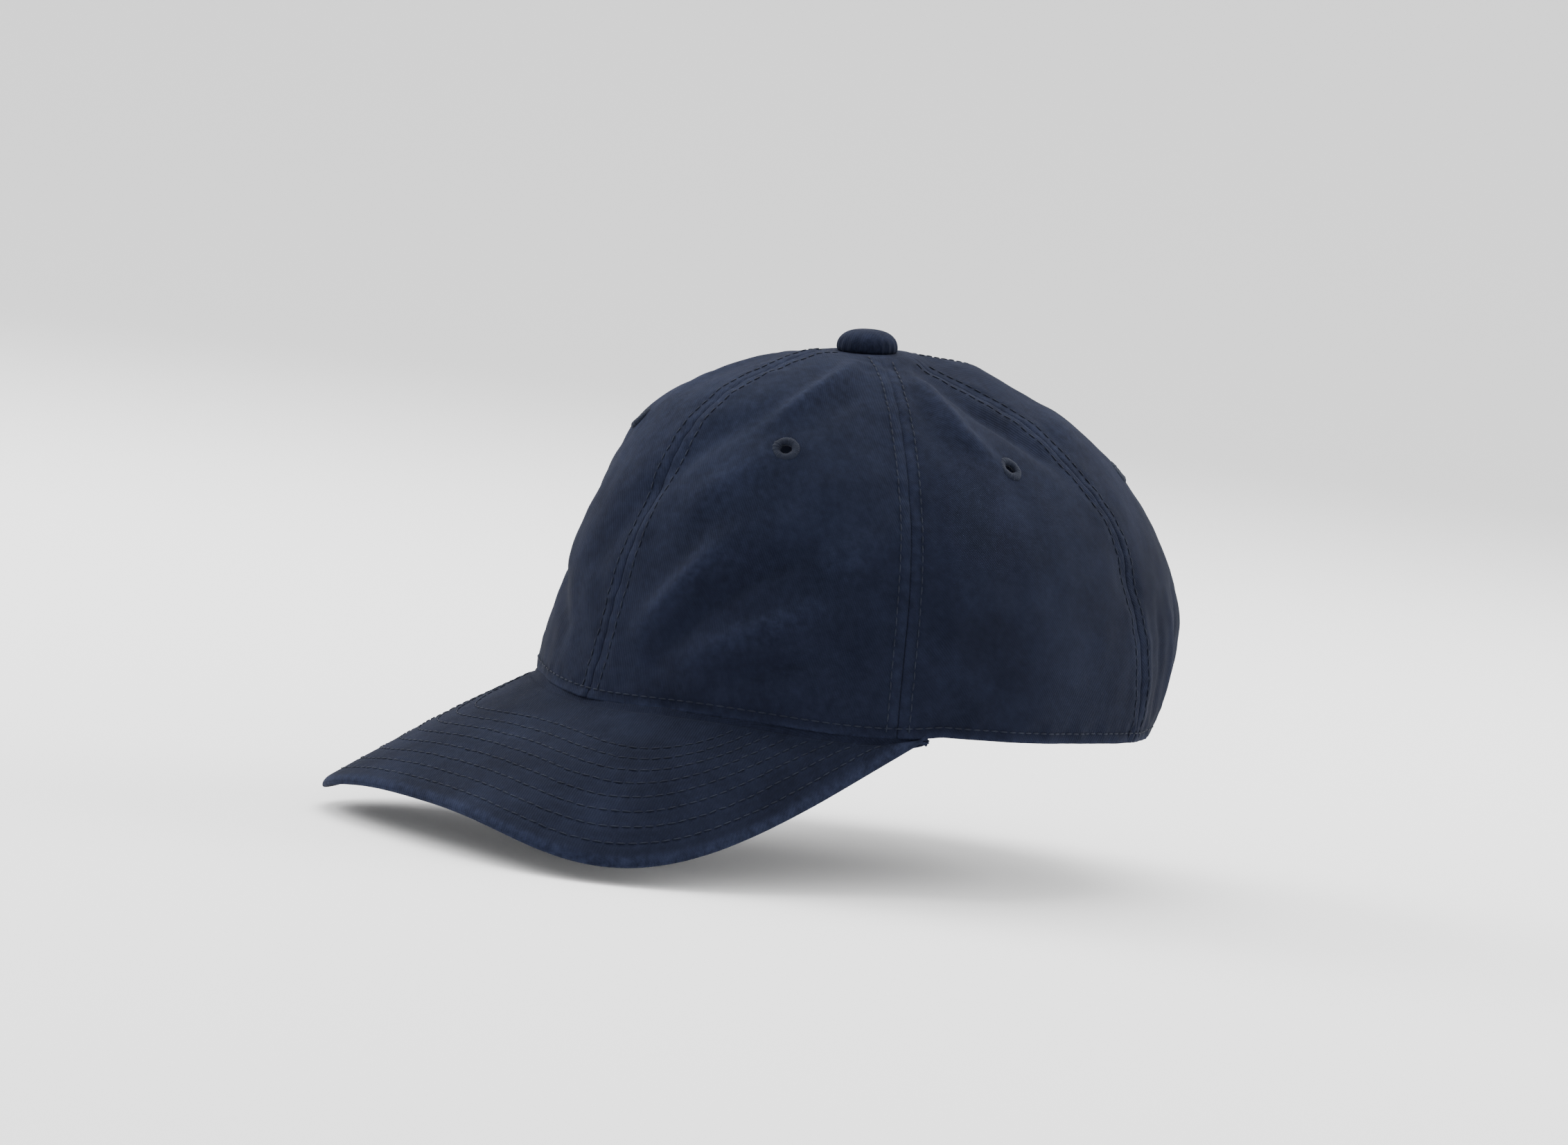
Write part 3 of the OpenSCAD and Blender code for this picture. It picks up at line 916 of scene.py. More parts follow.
def finish_piece(name: str, mesh: bpy.types.Mesh, material: bpy.types.Material,
                 nodes: tuple[str, ...] = ()) -> bpy.types.Object:
    """Puts a mesh in the scene as a piece of the cap.

    Args:
        name: The piece's name.
        mesh: Its mesh, already in place.
        material: What it is made of.
        nodes: The CAD nodes that it stands for.

    Returns:
        The object.
    """
    mesh.materials.append(material)
    mesh.shade_smooth()
    piece = bpy.data.objects.new(name, mesh)
    bpy.context.scene.collection.objects.link(piece)
    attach(piece, CAP_BODY)
    if nodes:
        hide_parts(*nodes)
    LOG.info("%s: %d faces", name, len(mesh.polygons))
    return piece


def thicken(piece: bpy.types.Object, thickness: float) -> None:
    """Gives a sheet its thickness in millimetres, on its inner side.

    Args:
        piece: The sheet.
        thickness: How thick it becomes, in millimetres.
    """
    wall = piece.modifiers.new("cloth", "SOLIDIFY")
    wall.thickness = thickness * MM
    wall.offset = -1.0


def made(bm: bmesh.types.BMesh, name: str) -> bpy.types.Mesh:
    """Turns a finished bmesh into a mesh and frees it.

    Args:
        bm: The bmesh.
        name: The mesh's name.

    Returns:
        The mesh.
    """
    mesh = bpy.data.meshes.new(name)
    bm.to_mesh(mesh)
    bm.free()
    return mesh


def spin_round(bm: bmesh.types.BMesh, profile: list[bmesh.types.BMVert], count: int,
               merge: float) -> None:
    """Spins a profile right round Z in a number of steps, and merges what meets.

    Args:
        bm: The bmesh that holds the profile.
        profile: The profile's vertices.
        count: How many steps go right round.
        merge: Vertices closer than this become one.
    """
    edges = list(dict.fromkeys(edge for vert in profile for edge in vert.link_edges))
    bmesh.ops.spin(bm, geom=profile + edges, cent=(0, 0, 0), axis=(0, 0, 1), dvec=(0, 0, 0),
                   angle=2 * math.pi, steps=count, use_merge=True, use_duplicate=False)
    bmesh.ops.remove_doubles(bm, verts=bm.verts, dist=merge)


def chain(bm: bmesh.types.BMesh, spots: list[tuple[float, float]]) -> list[bmesh.types.BMVert]:
    """Joins places of radius and height, in the XZ plane, into an open profile.

    Args:
        bm: The bmesh to add to.
        spots: A radius and a height for each vertex.

    Returns:
        The vertices, in order.
    """
    verts = [bm.verts.new((r, 0.0, z)) for r, z in spots]
    for pair in zip(verts, verts[1:]):
        bm.edges.new(pair)
    return verts


def sheet_mesh(name: str, across: Grid, up: Grid, place: Callable[[Grid, Grid], Grid],
               cloth: Callable[[Grid, Grid], Grid] | None = None,
               wear: Callable[[Grid, Grid], Grid] | None = None,
               turn: bool = False,
               holes: tuple[tuple[Grid, float], ...] = ()) -> bpy.types.Mesh:
    """A grid of cloth mapped onto a form.

    Args:
        name: The mesh's name.
        across: Values of the first parameter at the grid's columns.
        up: Values of the second parameter at its rows.
        place: Gives points in millimetres from both parameters.
        cloth: Gives cloth coordinates in millimetres; the parameters themselves if absent.
        wear: Gives how rubbed the cloth is, with any painted light added.
        turn: Whether the faces are turned over.
        holes: Centres and radii in millimetres inside which faces are left out.

    Returns:
        The mesh, in metres.
    """
    bm = bmesh.new()
    bmesh.ops.create_grid(bm, x_segments=len(across) - 1, y_segments=len(up) - 1, size=1.0)
    if turn:
        bmesh.ops.reverse_faces(bm, faces=bm.faces)
    mesh = bpy.data.meshes.new(name)
    bm.to_mesh(mesh)
    flat = np.empty(len(mesh.vertices) * 3, dtype=np.float32)
    mesh.vertices.foreach_get("co", flat)
    flat = (flat.reshape(-1, 3).astype(float) + 1.0) / 2.0
    a = np.interp(flat[:, 0], np.linspace(0, 1, len(across)), across)
    b = np.interp(flat[:, 1], np.linspace(0, 1, len(up)), up)
    places = place(a, b)
    write_places(mesh, places)
    write_cloth_map(mesh, cloth(a, b) if cloth else np.stack([a, b], axis=-1))
    write_wear_and_painted_light(mesh, wear(a, b) if wear else np.zeros(len(a)))
    if holes:
        bm.clear()
        bm.from_mesh(mesh)
        cut = [f for f in bm.faces for c, r in holes
               if (f.calc_center_median() - Vector(c * MM)).length < r * MM]
        bmesh.ops.delete(bm, geom=cut, context="FACES")
        bm.to_mesh(mesh)
    bm.free()
    return mesh


# Turns a sphere so that its poles lie along the stitch.
LAID_DOWN = Matrix.Rotation(math.pi / 2, 4, "Y")


@dataclass(frozen=True)
class Needle:
    """A lockstitch: how long each stitch is, how far apart they start, and the thread."""

    length: float = 2.5
    pitch: float = 3.1
    first: float = 0.3
    radius: float = 0.23
    sink: float = 0.06
    batch: int = 16

    def places(self, path: Grid, out: Grid) -> list[Matrix]:
        """Where each stitch of a row lies.

        Args:
            path: Points along the row, in millimetres.
            out: Outward direction at each point.

        Returns:
            For each stitch, a matrix that turns a unit sphere into it, in metres.
        """
        arc = arc_length(path)
        found = []
        for start in np.arange(self.first, arc[-1] - self.length, self.pitch):
            middle, end = start + self.length / 2, start + self.length
            head, tail = (np.array([np.interp(s, arc, path[:, k]) for k in range(3)])
                          for s in (start, end))
            normal = np.array([np.interp(middle, arc, out[:, k]) for k in range(3)])
            x = unit(tail - head)
            y = unit(np.cross(normal, x))
            z = np.cross(x, y)
            centre = (head + tail) / 2 + z * (self.radius - self.sink)
            place = np.eye(4)
            place[:3, 0] = x * self.length / 2
            place[:3, 1] = y * self.radius
            place[:3, 2] = z * self.radius
            place[:3, 3] = centre
            place[:3] *= MM
            found.append(Matrix(place.tolist()) @ LAID_DOWN)
        return found

    def sew(self, bm: bmesh.types.BMesh, path: Grid, out: Grid) -> None:
        """Adds a row of stitches along a path, a batch at a time.

        Args:
            bm: The bmesh to add to.
            path: Points along the row, in millimetres.
            out: Outward direction at each point.
        """
        places = self.places(path, out)
        scrap = bpy.data.meshes.new("scrap")
        for k in range(0, len(places), self.batch):
            part = bmesh.new()
            for place in places[k : k + self.batch]:
                bmesh.ops.create_uvsphere(part, u_segments=6, v_segments=5, radius=1.0, matrix=place)
            part.to_mesh(scrap)
            part.free()
            bm.from_mesh(scrap)
        bpy.data.meshes.remove(scrap)

    def piece(self, name: str, rows: list[tuple[Grid, Grid]], material: bpy.types.Material) -> None:
        """Makes a piece of thread from several rows.

        Args:
            name: The piece's name.
            rows: For each row, its points and the outward directions there.
            material: What the thread is made of.
        """
        bm = bmesh.new()
        for path, out in rows:
            self.sew(bm, path, out)
        finish_piece(name, made(bm, name), material)


# ---------------------------------------------------------------- the crown


@dataclass
class Crown:
    """Six gores of twill with their seams, eyelets, button and top stitching."""

    form: CrownForm
    cloth: Cloth
    dress: Wardrobe
    thickness: float = 1.0
    seam_turn: float = 0.05 / 1.5
    top_share: float = 0.985
    stitch_top: float = 0.93
    seam_length: float = 165.0
    near_seam: float = 9.5
    near_hem: float = 6.0
    fine: float = 0.42
    eyelet_places: tuple[tuple[str, float, float], ...] = (
        ("front", 32.0, 76.5), ("side", 94.0, 78.0), ("rear", 150.0, 78.0),
    )
    eyelet_r: float = 4.1
    eyelet_hole_r: float = 1.75
    eyelet_half_h: float = 0.95
    eyelet_sink: float = 0.45
    eyelet_cut_r: float = 2.9
    windings: int = 34
    button_r: float = 9.2
    button_h: float = 7.2
    button_foot: float = 1.6
    button_raise: float = 0.7
    gathers: int = 19

    def columns(self, start: float, end: float) -> Grid:
        """Angles of a gore's columns, close together near its seams and round the back arch.

        Args:
            start: Angle of the seam nearer the front.
            end: Angle of the seam nearer the back.

        Returns:
            Rising angles in degrees.
        """
        angles, arc = self.form.base_arc()
        places = np.interp([start, end], angles, arc)
        if end < 180.0:
            across = places[0] + dense_ends(places[1] - places[0], self.near_seam, self.fine, 1.6)
            return np.interp(across, arc, angles)
        arch = 180.0 - math.degrees(self.form.arch_half_w / self.form.half_w)
        side = np.interp(arch, angles, arc) - places[0]
        close = steps(self.near_seam, self.fine)
        rest = self.near_seam + steps(side - self.near_seam, 1.5)[1:-1]
        beside = places[0] + np.concatenate([close, rest])
        turn = np.radians(np.linspace(90.0, 14.0, 30))
        inside = 180.0 - np.degrees(self.form.arch_half_w * np.sin(turn) / self.form.half_w)
        near = np.linspace(inside[-1], 180.0, 22)[1:]
        return np.concatenate([np.interp(beside, arc, angles), inside, near])

    def rows(self, middle: float) -> Grid:
        """Shares of a gore's rows, close together near the hem.

        Args:
            middle: Angle of the gore's middle.

        Returns:
            Rising shares from 0 to 1.
        """
        v = np.linspace(0.0, self.top_share, 400)
        p = self.form.point(np.full(v.shape, middle), v)
        arc = arc_length(p)
        rest = self.near_hem + steps(arc[-1] - self.near_hem, 1.25)[1:]
        up = np.concatenate([steps(self.near_hem, 0.5), rest])
        return np.interp(up, arc, v) / self.top_share

    def seated(self, t: Grid, share: Grid) -> Grid:
        """Share v for a row of a gore, which starts at the arch where there is one.

        Args:
            t: Angles from the front, in degrees.
            share: Shares of the way up the gore's own cloth.

        Returns:
            Shares of the way to the peak.
        """
        columns, back = np.unique(t, return_inverse=True)
        tall = self.form.arch_z(columns)
        low = np.where(tall > 0.01, self.form.share_at_z(columns, tall), 0.0)[back]
        return low + (self.top_share - low) * share

    def wear(self, t: Grid, v: Grid) -> Grid:
        """How rubbed the twill is, along seams, hems and the crests of folds, plus painted light that
        makes it paler towards the top.

        Args:
            t: Angles from the front, in degrees.
            v: Shares of the way to the peak.

        Returns:
            How rubbed the twill is at each place, about 0 to 1.
        """
        scale = self.form.mm_per_degree(t, v)
        p = self.form.point(t, v)
        up = np.linalg.norm(p - self.form.point(t, np.zeros(v.shape)), axis=-1)
        total = 0.45 * bell(up, 1.4)
        for seam in self.form.seams:
            x = np.abs(wrap(t - seam)) * scale
            total += 0.20 * bell(x - 1.6, 1.6)
        crest = np.clip(self.cloth.fold_relief(p), 0.0, 2.5) * 0.16
        # Painted light: the 0.24 term makes the twill paler towards the top, as if lit from above, and
        # so leaves the lower cloth in painted shade. The ahead term makes the front a little paler.
        ahead = (0.5 + 0.5 * np.cos(np.radians(t))) ** 2
        return total + crest + 0.24 * smooth(30.0, 95.0, p[..., 2]) + 0.16 * ahead

    def eyelet_frame(self, t: float, z: float) -> tuple[Grid, Grid]:
        """Centre of an eyelet on the cloth and the outward direction there.

        Args:
            t: Its angle from the front.
            z: Its height in millimetres.

        Returns:
            The centre in millimetres, and the direction.
        """
        a = np.array([t])
        v = self.form.share_at_z(a, np.array([z]))
        return self.cloth.point(a, v)[0], self.form.outward(a, v)[0]

    def gore(self, which: str, start: float, end: float, side: Side) -> None:
        """Makes one gore, on either side.

        Args:
            which: Which of the three it is.
            start: Angle of the seam nearer the front.
            end: Angle of the seam nearer the back.
            side: The wearer's side that it is on.
        """
        sign = side.value
        columns = self.columns(start, end)
        name = f"{which}_panel_{side.name.lower()}"
        columns[0] += self.seam_turn
        columns[-1] -= self.seam_turn
        if sign < 0:
            columns = -columns[::-1]
        hole_t, hole_z = next((t, z) for key, t, z in self.eyelet_places if key == which)
        hole, _ = self.eyelet_frame(sign * hole_t, hole_z)

        def place(t: Grid, s: Grid) -> Grid:
            """Points of the cloth."""
            return self.cloth.point(t, self.seated(t, s))

        def spread(t: Grid, s: Grid) -> Grid:
            """Cloth coordinates: across from the gore's middle, and up from its hem.

            Args:
                t: Angles from the front, in degrees.
                s: Shares of the way up the gore's own cloth.

            Returns:
                A pair in millimetres for each place.
            """
            v = self.seated(t, s)
            across = wrap(t - sign * (start + end) / 2) * self.form.mm_per_degree(t, v)
            return np.stack([across, v * self.seam_length], axis=-1)

        mesh = sheet_mesh(name, columns, self.rows(float(np.median(columns))), place, spread,
                          lambda t, s: self.wear(t, self.seated(t, s)),
                          holes=((hole, self.eyelet_cut_r),))
        piece = finish_piece(f"{name}_twill", mesh, self.dress.twill, nodes=(name,))
        thicken(piece, self.thickness)

    def row(self, t: Grid, v: Grid) -> tuple[Grid, Grid]:
        """A stitched row: its points on the cloth and the outward directions there."""
        return self.cloth.point(t, v), self.form.outward(t, v)

    def seam_rows(self) -> list[tuple[Grid, Grid]]:
        """Two rows of top stitching beside each seam, from the hem to the button.

        Returns:
            For each row, its points and the outward directions there.
        """
        rows = []
        for seam in self.form.seams:
            low = 0.01
            if seam == 180.0:
                low = float(self.form.share_at_z(seam, self.form.arch_h + 2.0))
            v = np.linspace(low, self.stitch_top, 320)
            scale = self.form.mm_per_degree(np.full(v.shape, seam), v)
            for hand in (-1, 1):
                rows.append(self.row(seam + hand * self.cloth.stitch_off / scale, v))
        return rows

    def hem_rows(self) -> list[tuple[Grid, Grid]]:
        """One row above the lower edge, and two round the back arch.

        Returns:
            For each row, its points and the outward directions there.
        """
        start = float(self.form.rear_angle(-self.form.arch_half_w - 4.0))
        t = np.linspace(-start, start, 900)
        v = self.form.share_at_z(t, self.form.edge_z(t) + self.cloth.hem_off)
        rows = [self.row(t, v)]
        for grow in (2.2, 6.0):
            turn = np.radians(np.linspace(-88.0, 88.0, 260))
            t = self.form.rear_angle((self.form.arch_half_w + grow) * np.sin(turn))
            rows.append(self.row(t, self.form.share_at_z(t, (self.form.arch_h + grow) * np.cos(turn))))
        return rows

    def eyelet(self, which: str, t: float, z: float, side: Side) -> None:
        """Makes one sewn eyelet: a ring wound with thread.

        Args:
            which: Which of the three it is.
            t: Its angle from the front.
            z: Its height in millimetres.
            side: The wearer's side that it is on.
        """
        name = f"eyelet_{which}_{side.name.lower()}"
        centre, out = self.eyelet_frame(side.value * t, z)
        middle = (self.eyelet_r + self.eyelet_hole_r) / 2
        half = (self.eyelet_r - self.eyelet_hole_r) / 2
        bm = bmesh.new()
        ring = bmesh.ops.create_circle(bm, cap_ends=False, segments=12, radius=1.0)["verts"]
        for vert in ring:
            vert.co = Vector((middle + half * vert.co.x, 0.0, self.eyelet_half_h * vert.co.y))
        spin_round(bm, ring, 6 * self.windings, 1e-5)
        rng = np.random.default_rng(int(t) + 7 * side.value)
        lift = rng.normal(0.0, 0.05, self.windings)
        for vert in bm.verts:
            winding = math.atan2(vert.co.y, vert.co.x) / (2 * math.pi) * self.windings
            swell = 1.0 + 0.10 * abs(math.sin(math.pi * winding)) + lift[int(winding) % self.windings]
            core = Vector((vert.co.x, vert.co.y, 0.0)).normalized() * middle
            vert.co = core + (vert.co - core) * swell
        bmesh.ops.recalc_face_normals(bm, faces=bm.faces)
        turn = Vector(out).to_track_quat("Z", "Y").to_matrix().to_4x4()
        sunk = Matrix.Translation(Vector((centre - out * self.eyelet_sink) * MM))
        bmesh.ops.transform(bm, verts=bm.verts, matrix=sunk @ turn @ Matrix.Scale(MM, 4))
        finish_piece(f"{name}_thread", made(bm, name), self.dress.thread, nodes=(name,))

    def button(self) -> None:
        """Makes the covered button: a flat dome of twill gathered at its skirt."""
        # The two powers square the dome's shoulder and flatten its top.
        dome = [math.radians(90.0 - 90.0 * k / 22) for k in range(23)]
        spots = [(self.button_r * math.cos(a) ** 0.72,
                  self.button_foot + (self.button_h - self.button_foot) * math.sin(a) ** 0.9)
                 for a in dome]
        skirt = [(self.button_r - tuck, z) for tuck, z in ((0.15, 1.0), (0.6, 0.35), (1.6, 0.1))]
        bm = bmesh.new()
        spin_round(bm, chain(bm, spots + skirt), 120, 1e-4)
        for vert in bm.verts:
            r = math.hypot(vert.co.x, vert.co.y)
            angle = math.atan2(vert.co.y, vert.co.x)
            edge = max(0.0, (r / self.button_r - 0.8) / 0.2) if vert.co.z < 4.5 else 0.0
            pleat = 0.16 * math.sin(self.gathers * angle + 1.3 * math.sin(3 * angle)) * edge
            vert.co *= 1.0 + pleat / max(r, 1.0)
        bmesh.ops.recalc_face_normals(bm, faces=bm.faces)
        lean = Matrix.Rotation(math.radians(self.form.seat_lean), 4, "X")
        high = self.form.height - self.form.seat_sink + self.button_raise
        seat = Matrix.Translation(Vector((0.0, -self.form.forward, high)) * MM)
        bmesh.ops.transform(bm, verts=bm.verts, matrix=seat @ lean @ Matrix.Scale(MM, 4))
        mesh = made(bm, "button_cover")
        places = np.array([vert.co for vert in mesh.vertices]) / MM
        write_cloth_map(mesh, places[:, :2])
        write_wear_and_painted_light(mesh, 0.12 + 0.3 * bell(places[:, 2] - self.form.height - 4.6, 1.4))
        finish_piece("button_twill", mesh, self.dress.twill,
                     nodes=("button_cover", "button_shell"))

    def build(self) -> None:
        """Makes the whole crown."""
        gores = list(zip(("front", "side", "rear"), self.form.seams, self.form.seams[1:]))
        for side in Side:
            for which, start, end in gores:
                self.gore(which, start, end, side)
            for which, t, z in self.eyelet_places:
                self.eyelet(which, t, z, side)
        Needle().piece("crown_topstitching", self.seam_rows(), self.dress.thread)
        Needle().piece("hem_stitching", self.hem_rows(), self.dress.thread)
        self.button()


# ---------------------------------------------------------------- the bill


@dataclass
class Bill:
    """The curved bill: two twill covers, quilted in rows that follow the rim."""

    form: BillForm
    dress: Wardrobe
    cover_t: float = 0.8
    edge_round: float = 2.0
    slack: float = 0.05
    channel: float = 0.14
    channel_w: float = 0.8
    pucker: float = 0.09
    pucker_w: float = 2.0
    allowance: float = 0.035
    crease: float = 0.45

    def relief(self, a: Grid, s: Grid) -> Grid:
        """Height of the cover: stitched channels with the cloth raised between them.

        Args:
            a: Places round the rim, from -90 to 90 degrees.
            s: Shares of the way from the crown to the rim.

        Returns:
            The height at each point.
        """
        inset = (1 - s) * self.form.run(a)
        p = self.form.point(a, s)
        total = self.slack * Ripple(11, 7.0, 15.0).at(p) + self.tuck_in(a, s)
        tuck = Ripple(12, 2.6, 4.4, 12).at(p)
        for place in self.form.row_places():
            inside = smooth(0.5, 3.0, self.form.run(a) - place)
            total -= inside * self.channel * bell(inset - place, self.channel_w)
            total += inside * self.pucker * tuck * bell(inset - place, self.pucker_w)
        return total * smooth(0.3, 2.5, inset)

    def tuck_in(self, a: Grid, s: Grid) -> Grid:
        """Rise of the cover where it meets the crown's edge, and the crease before it."""
        out = s * self.form.run(a)
        return self.form.gap * 1.3 * smooth(0.9, 0.0, out) - self.crease * bell(out - 1.5, 0.9)

    def drop(self, a: Grid, s: Grid) -> Grid:
        """How far the face rolls towards the bill's middle at the rim.

        Args:
            a: Places round the rim, from -90 to 90 degrees.
            s: Shares of the way from the crown to the rim.

        Returns:
            The distance at each place, in millimetres.
        """
        inset = np.clip(self.form.inset(a, s), 0.0, self.edge_round)
        turn = 1 - inset / self.edge_round
        return self.form.thickness / 2 * (1 - np.sqrt(np.clip(1 - turn * turn, 0.0, 1.0)))

    def face(self, a: Grid, s: Grid, top: bool) -> Grid:
        """Points of the upper or lower cover's outer face.

        Args:
            a: Places round the rim, from -90 to 90 degrees.
            s: Shares of the way from the crown to the rim.
            top: Whether this is the upper face.

        Returns:
            Points in millimetres.
        """
        p = self.form.point(a, s)
        lift = self.relief(a, s) - self.drop(a, s)
        closed = (self.form.thickness - self.cover_t) * smooth(3.0, -1.5, s * self.form.run(a))
        p[..., 2] += lift if top else closed - self.form.thickness - lift
        return p

    def wear(self, a: Grid, s: Grid) -> Grid:
        """How rubbed the cover is, most of all along the rim.

        Args:
            a: Places round the rim, from -90 to 90 degrees.
            s: Shares of the way from the crown to the rim.

        Returns:
            How rubbed the cover is at each place, about 0 to 1.
        """
        inset = (1 - s) * self.form.run(a)
        total = 0.75 * bell(self.form.inset(a, s) - 0.4, 1.3)
        for place in self.form.row_places():
            total += 0.13 * bell(inset - place - 1.1, 0.8) + 0.13 * bell(inset - place + 1.1, 0.8)
        return total

    def shares(self) -> Grid:
        """Shares of the rows of the grid, closer at the rim.

        Returns:
            Rising shares of the way from the crown to the rim.
        """
        near = np.array([0.0, 0.0015, 0.005, 0.01, 0.017, 0.025, 0.035])
        rest = 0.035 + steps(0.93, 0.011)[1:]
        seam = 0.965 + steps(0.035 + self.allowance, 0.006)[1:]
        return 1 - np.concatenate([near, rest, seam])[::-1]

    def cover(self, top: bool) -> None:
        """Makes one cover.

        Args:
            top: Whether this is the upper face.
        """
        name = "bill_top_cover" if top else "bill_bottom_cover"
        mesh = sheet_mesh(
            name, self.form.even_angles(1.3), self.shares(),
            lambda a, s: self.face(a, s, top),
            lambda a, s: self.form.point(a, s)[..., :2], self.wear, turn=top)
        nodes = (name, "bill_board") if top else (name,)
        piece = finish_piece(f"{name}_twill", mesh, self.dress.twill, nodes=nodes)
        thicken(piece, self.cover_t)

    def stitch_rows(self, top: bool) -> list[tuple[Grid, Grid]]:
        """The quilting rows on one face.

        Args:
            top: Whether this is the upper face.

        Returns:
            For each row, its points and the outward directions there.
        """
        rows = []
        every = self.form.even_angles(0.8)
        for place in self.form.row_places():
            a = every[self.form.run(every) > place + 2.2]
            s = 1 - place / self.form.run(a)
            path = self.face(a, s, top)
            ahead = np.gradient(path, axis=0)
            inward = self.form.point(a, s - 0.02) - self.form.point(a, s)
            out = unit(np.cross(inward, ahead))
            out *= np.sign(out[:, 2:3]) * (1 if top else -1)
            rows.append((path, out))
        return rows

    def build(self) -> None:
        """Makes the bill."""
        for top in (True, False):
            self.cover(top)
            name = "bill_quilting_top" if top else "bill_quilting_under"
            needle = Needle(length=2.7, pitch=3.3, radius=0.22)
            needle.piece(name, self.stitch_rows(top), self.dress.thread)


# ---------------------------------------------------------------- the inside and the closure


@dataclass
class Lining:
    """Seam tapes, sweatband, binding and label inside the crown."""

    form: CrownForm
    cloth: Cloth
    dress: Wardrobe
    tape_w: float = 12.0
    tape_top: float = 0.925
    tape_t: float = 0.6
    tape_depth: float = 1.5
    band_h: float = 32.0
    band_t: float = 1.4
    band_depth: float = 2.6
    binding_w: float = 7.0
    closure_reach: float = 64.0
    label_t: float = 100.0
    label_z: float = 9.0
    label_w: float = 26.0
    label_h: float = 14.0

    def strip(self, name: str, across: Grid, up: Grid,
              angles: Callable[[Grid, Grid], tuple[Grid, Grid]], depth: float, thickness: float,
              material: bpy.types.Material) -> None:
        """Makes a strip of cloth that lies inside the crown.

        Args:
            name: The CAD node that it stands for.
            across: Values of the first parameter at the grid's columns.
            up: Values of the second parameter at its rows.
            angles: Gives the angle and the share of the way up from both parameters.
            depth: Depth of its outer face below the crown's, in millimetres.
            thickness: Thickness in millimetres.
            material: What it is made of.
        """

        def place(a: Grid, b: Grid) -> Grid:
            """Points of the strip's outer face."""
            t, v = angles(a, b)
            return self.cloth.point(t, v, depth)

        mesh = sheet_mesh(name, across, up, place)
        piece = finish_piece(f"{name}_cloth", mesh, material, nodes=(name,))
        thicken(piece, thickness)

    def tapes(self) -> None:
        """Makes the six seam tapes."""
        names = {0.0: "front", 180.0: "back", 63.0: "front_left", -63.0: "front_right",
                 120.0: "rear_left", -120.0: "rear_right"}
        for seam, where in names.items():
            low = 0.0
            if seam == 180.0:
                low = float(self.form.share_at_z(seam, self.form.arch_h + 8.0))

            def angles(a: Grid, b: Grid, seam: float = seam, low: float = low) -> tuple[Grid, Grid]:
                """Angle and share at a millimetres across the tape and share b up it."""
                v = low + (self.tape_top - low) * b
                return seam + a / self.form.mm_per_degree(np.full(v.shape, seam), v), v

            across = np.linspace(-self.tape_w / 2, self.tape_w / 2, 13)
            self.strip(f"seam_tape_{where}", across, np.linspace(0, 1, 110), angles,
                       self.tape_depth, self.tape_t, self.dress.tape)

    def sweatband(self) -> None:
        """Makes the sweatband."""
        end = float(self.form.rear_angle(-self.closure_reach))

        def angles(a: Grid, b: Grid) -> tuple[Grid, Grid]:
            """Angle and share at angle a and b millimetres above the edge."""
            return a, self.form.share_at_z(a, self.form.edge_z(a) + 1.0 + b)

        self.strip("sweatband", np.linspace(-end, end, 420), np.linspace(0, self.band_h, 26),
                   angles, self.band_depth, self.band_t, self.dress.band)

    def binding(self) -> None:
        """Makes the tape that binds the arch."""

        def angles(a: Grid, b: Grid) -> tuple[Grid, Grid]:
            """Angle and share at turn a round the arch and b millimetres outside it.

            Args:
                a: Turns round the arch, in degrees.
                b: Distances outside its edge.

            Returns:
                The angle and the share at each place.
            """
            turn = np.radians(a)
            t = self.form.rear_angle((self.form.arch_half_w + b) * np.sin(turn))
            return t, self.form.share_at_z(t, (self.form.arch_h + b) * np.cos(turn))

        self.strip("opening_binding", np.linspace(-83, 83, 180), np.linspace(0.2, self.binding_w, 9),
                   angles, self.tape_depth, self.tape_t, self.dress.tape)

    def label(self) -> None:
        """Makes the blank label."""
        scale = float(self.form.mm_per_degree(np.array([self.label_t]), np.array([0.1]))[0])

        def angles(a: Grid, b: Grid) -> tuple[Grid, Grid]:
            """Angle and share at a and b millimetres across and up the label."""
            t = self.label_t + a / scale
            return t, self.form.share_at_z(t, self.label_z + b)

        across = np.linspace(-self.label_w / 2, self.label_w / 2, 40)
        depth = self.band_depth + self.band_t + 0.5
        self.strip("inner_label", across, np.linspace(0, self.label_h, 20), angles, depth,
                   self.tape_t, self.dress.label)

    def build(self) -> None:
        """Makes the lining."""
        self.tapes()
        self.sweatband()
        self.binding()
        self.label()


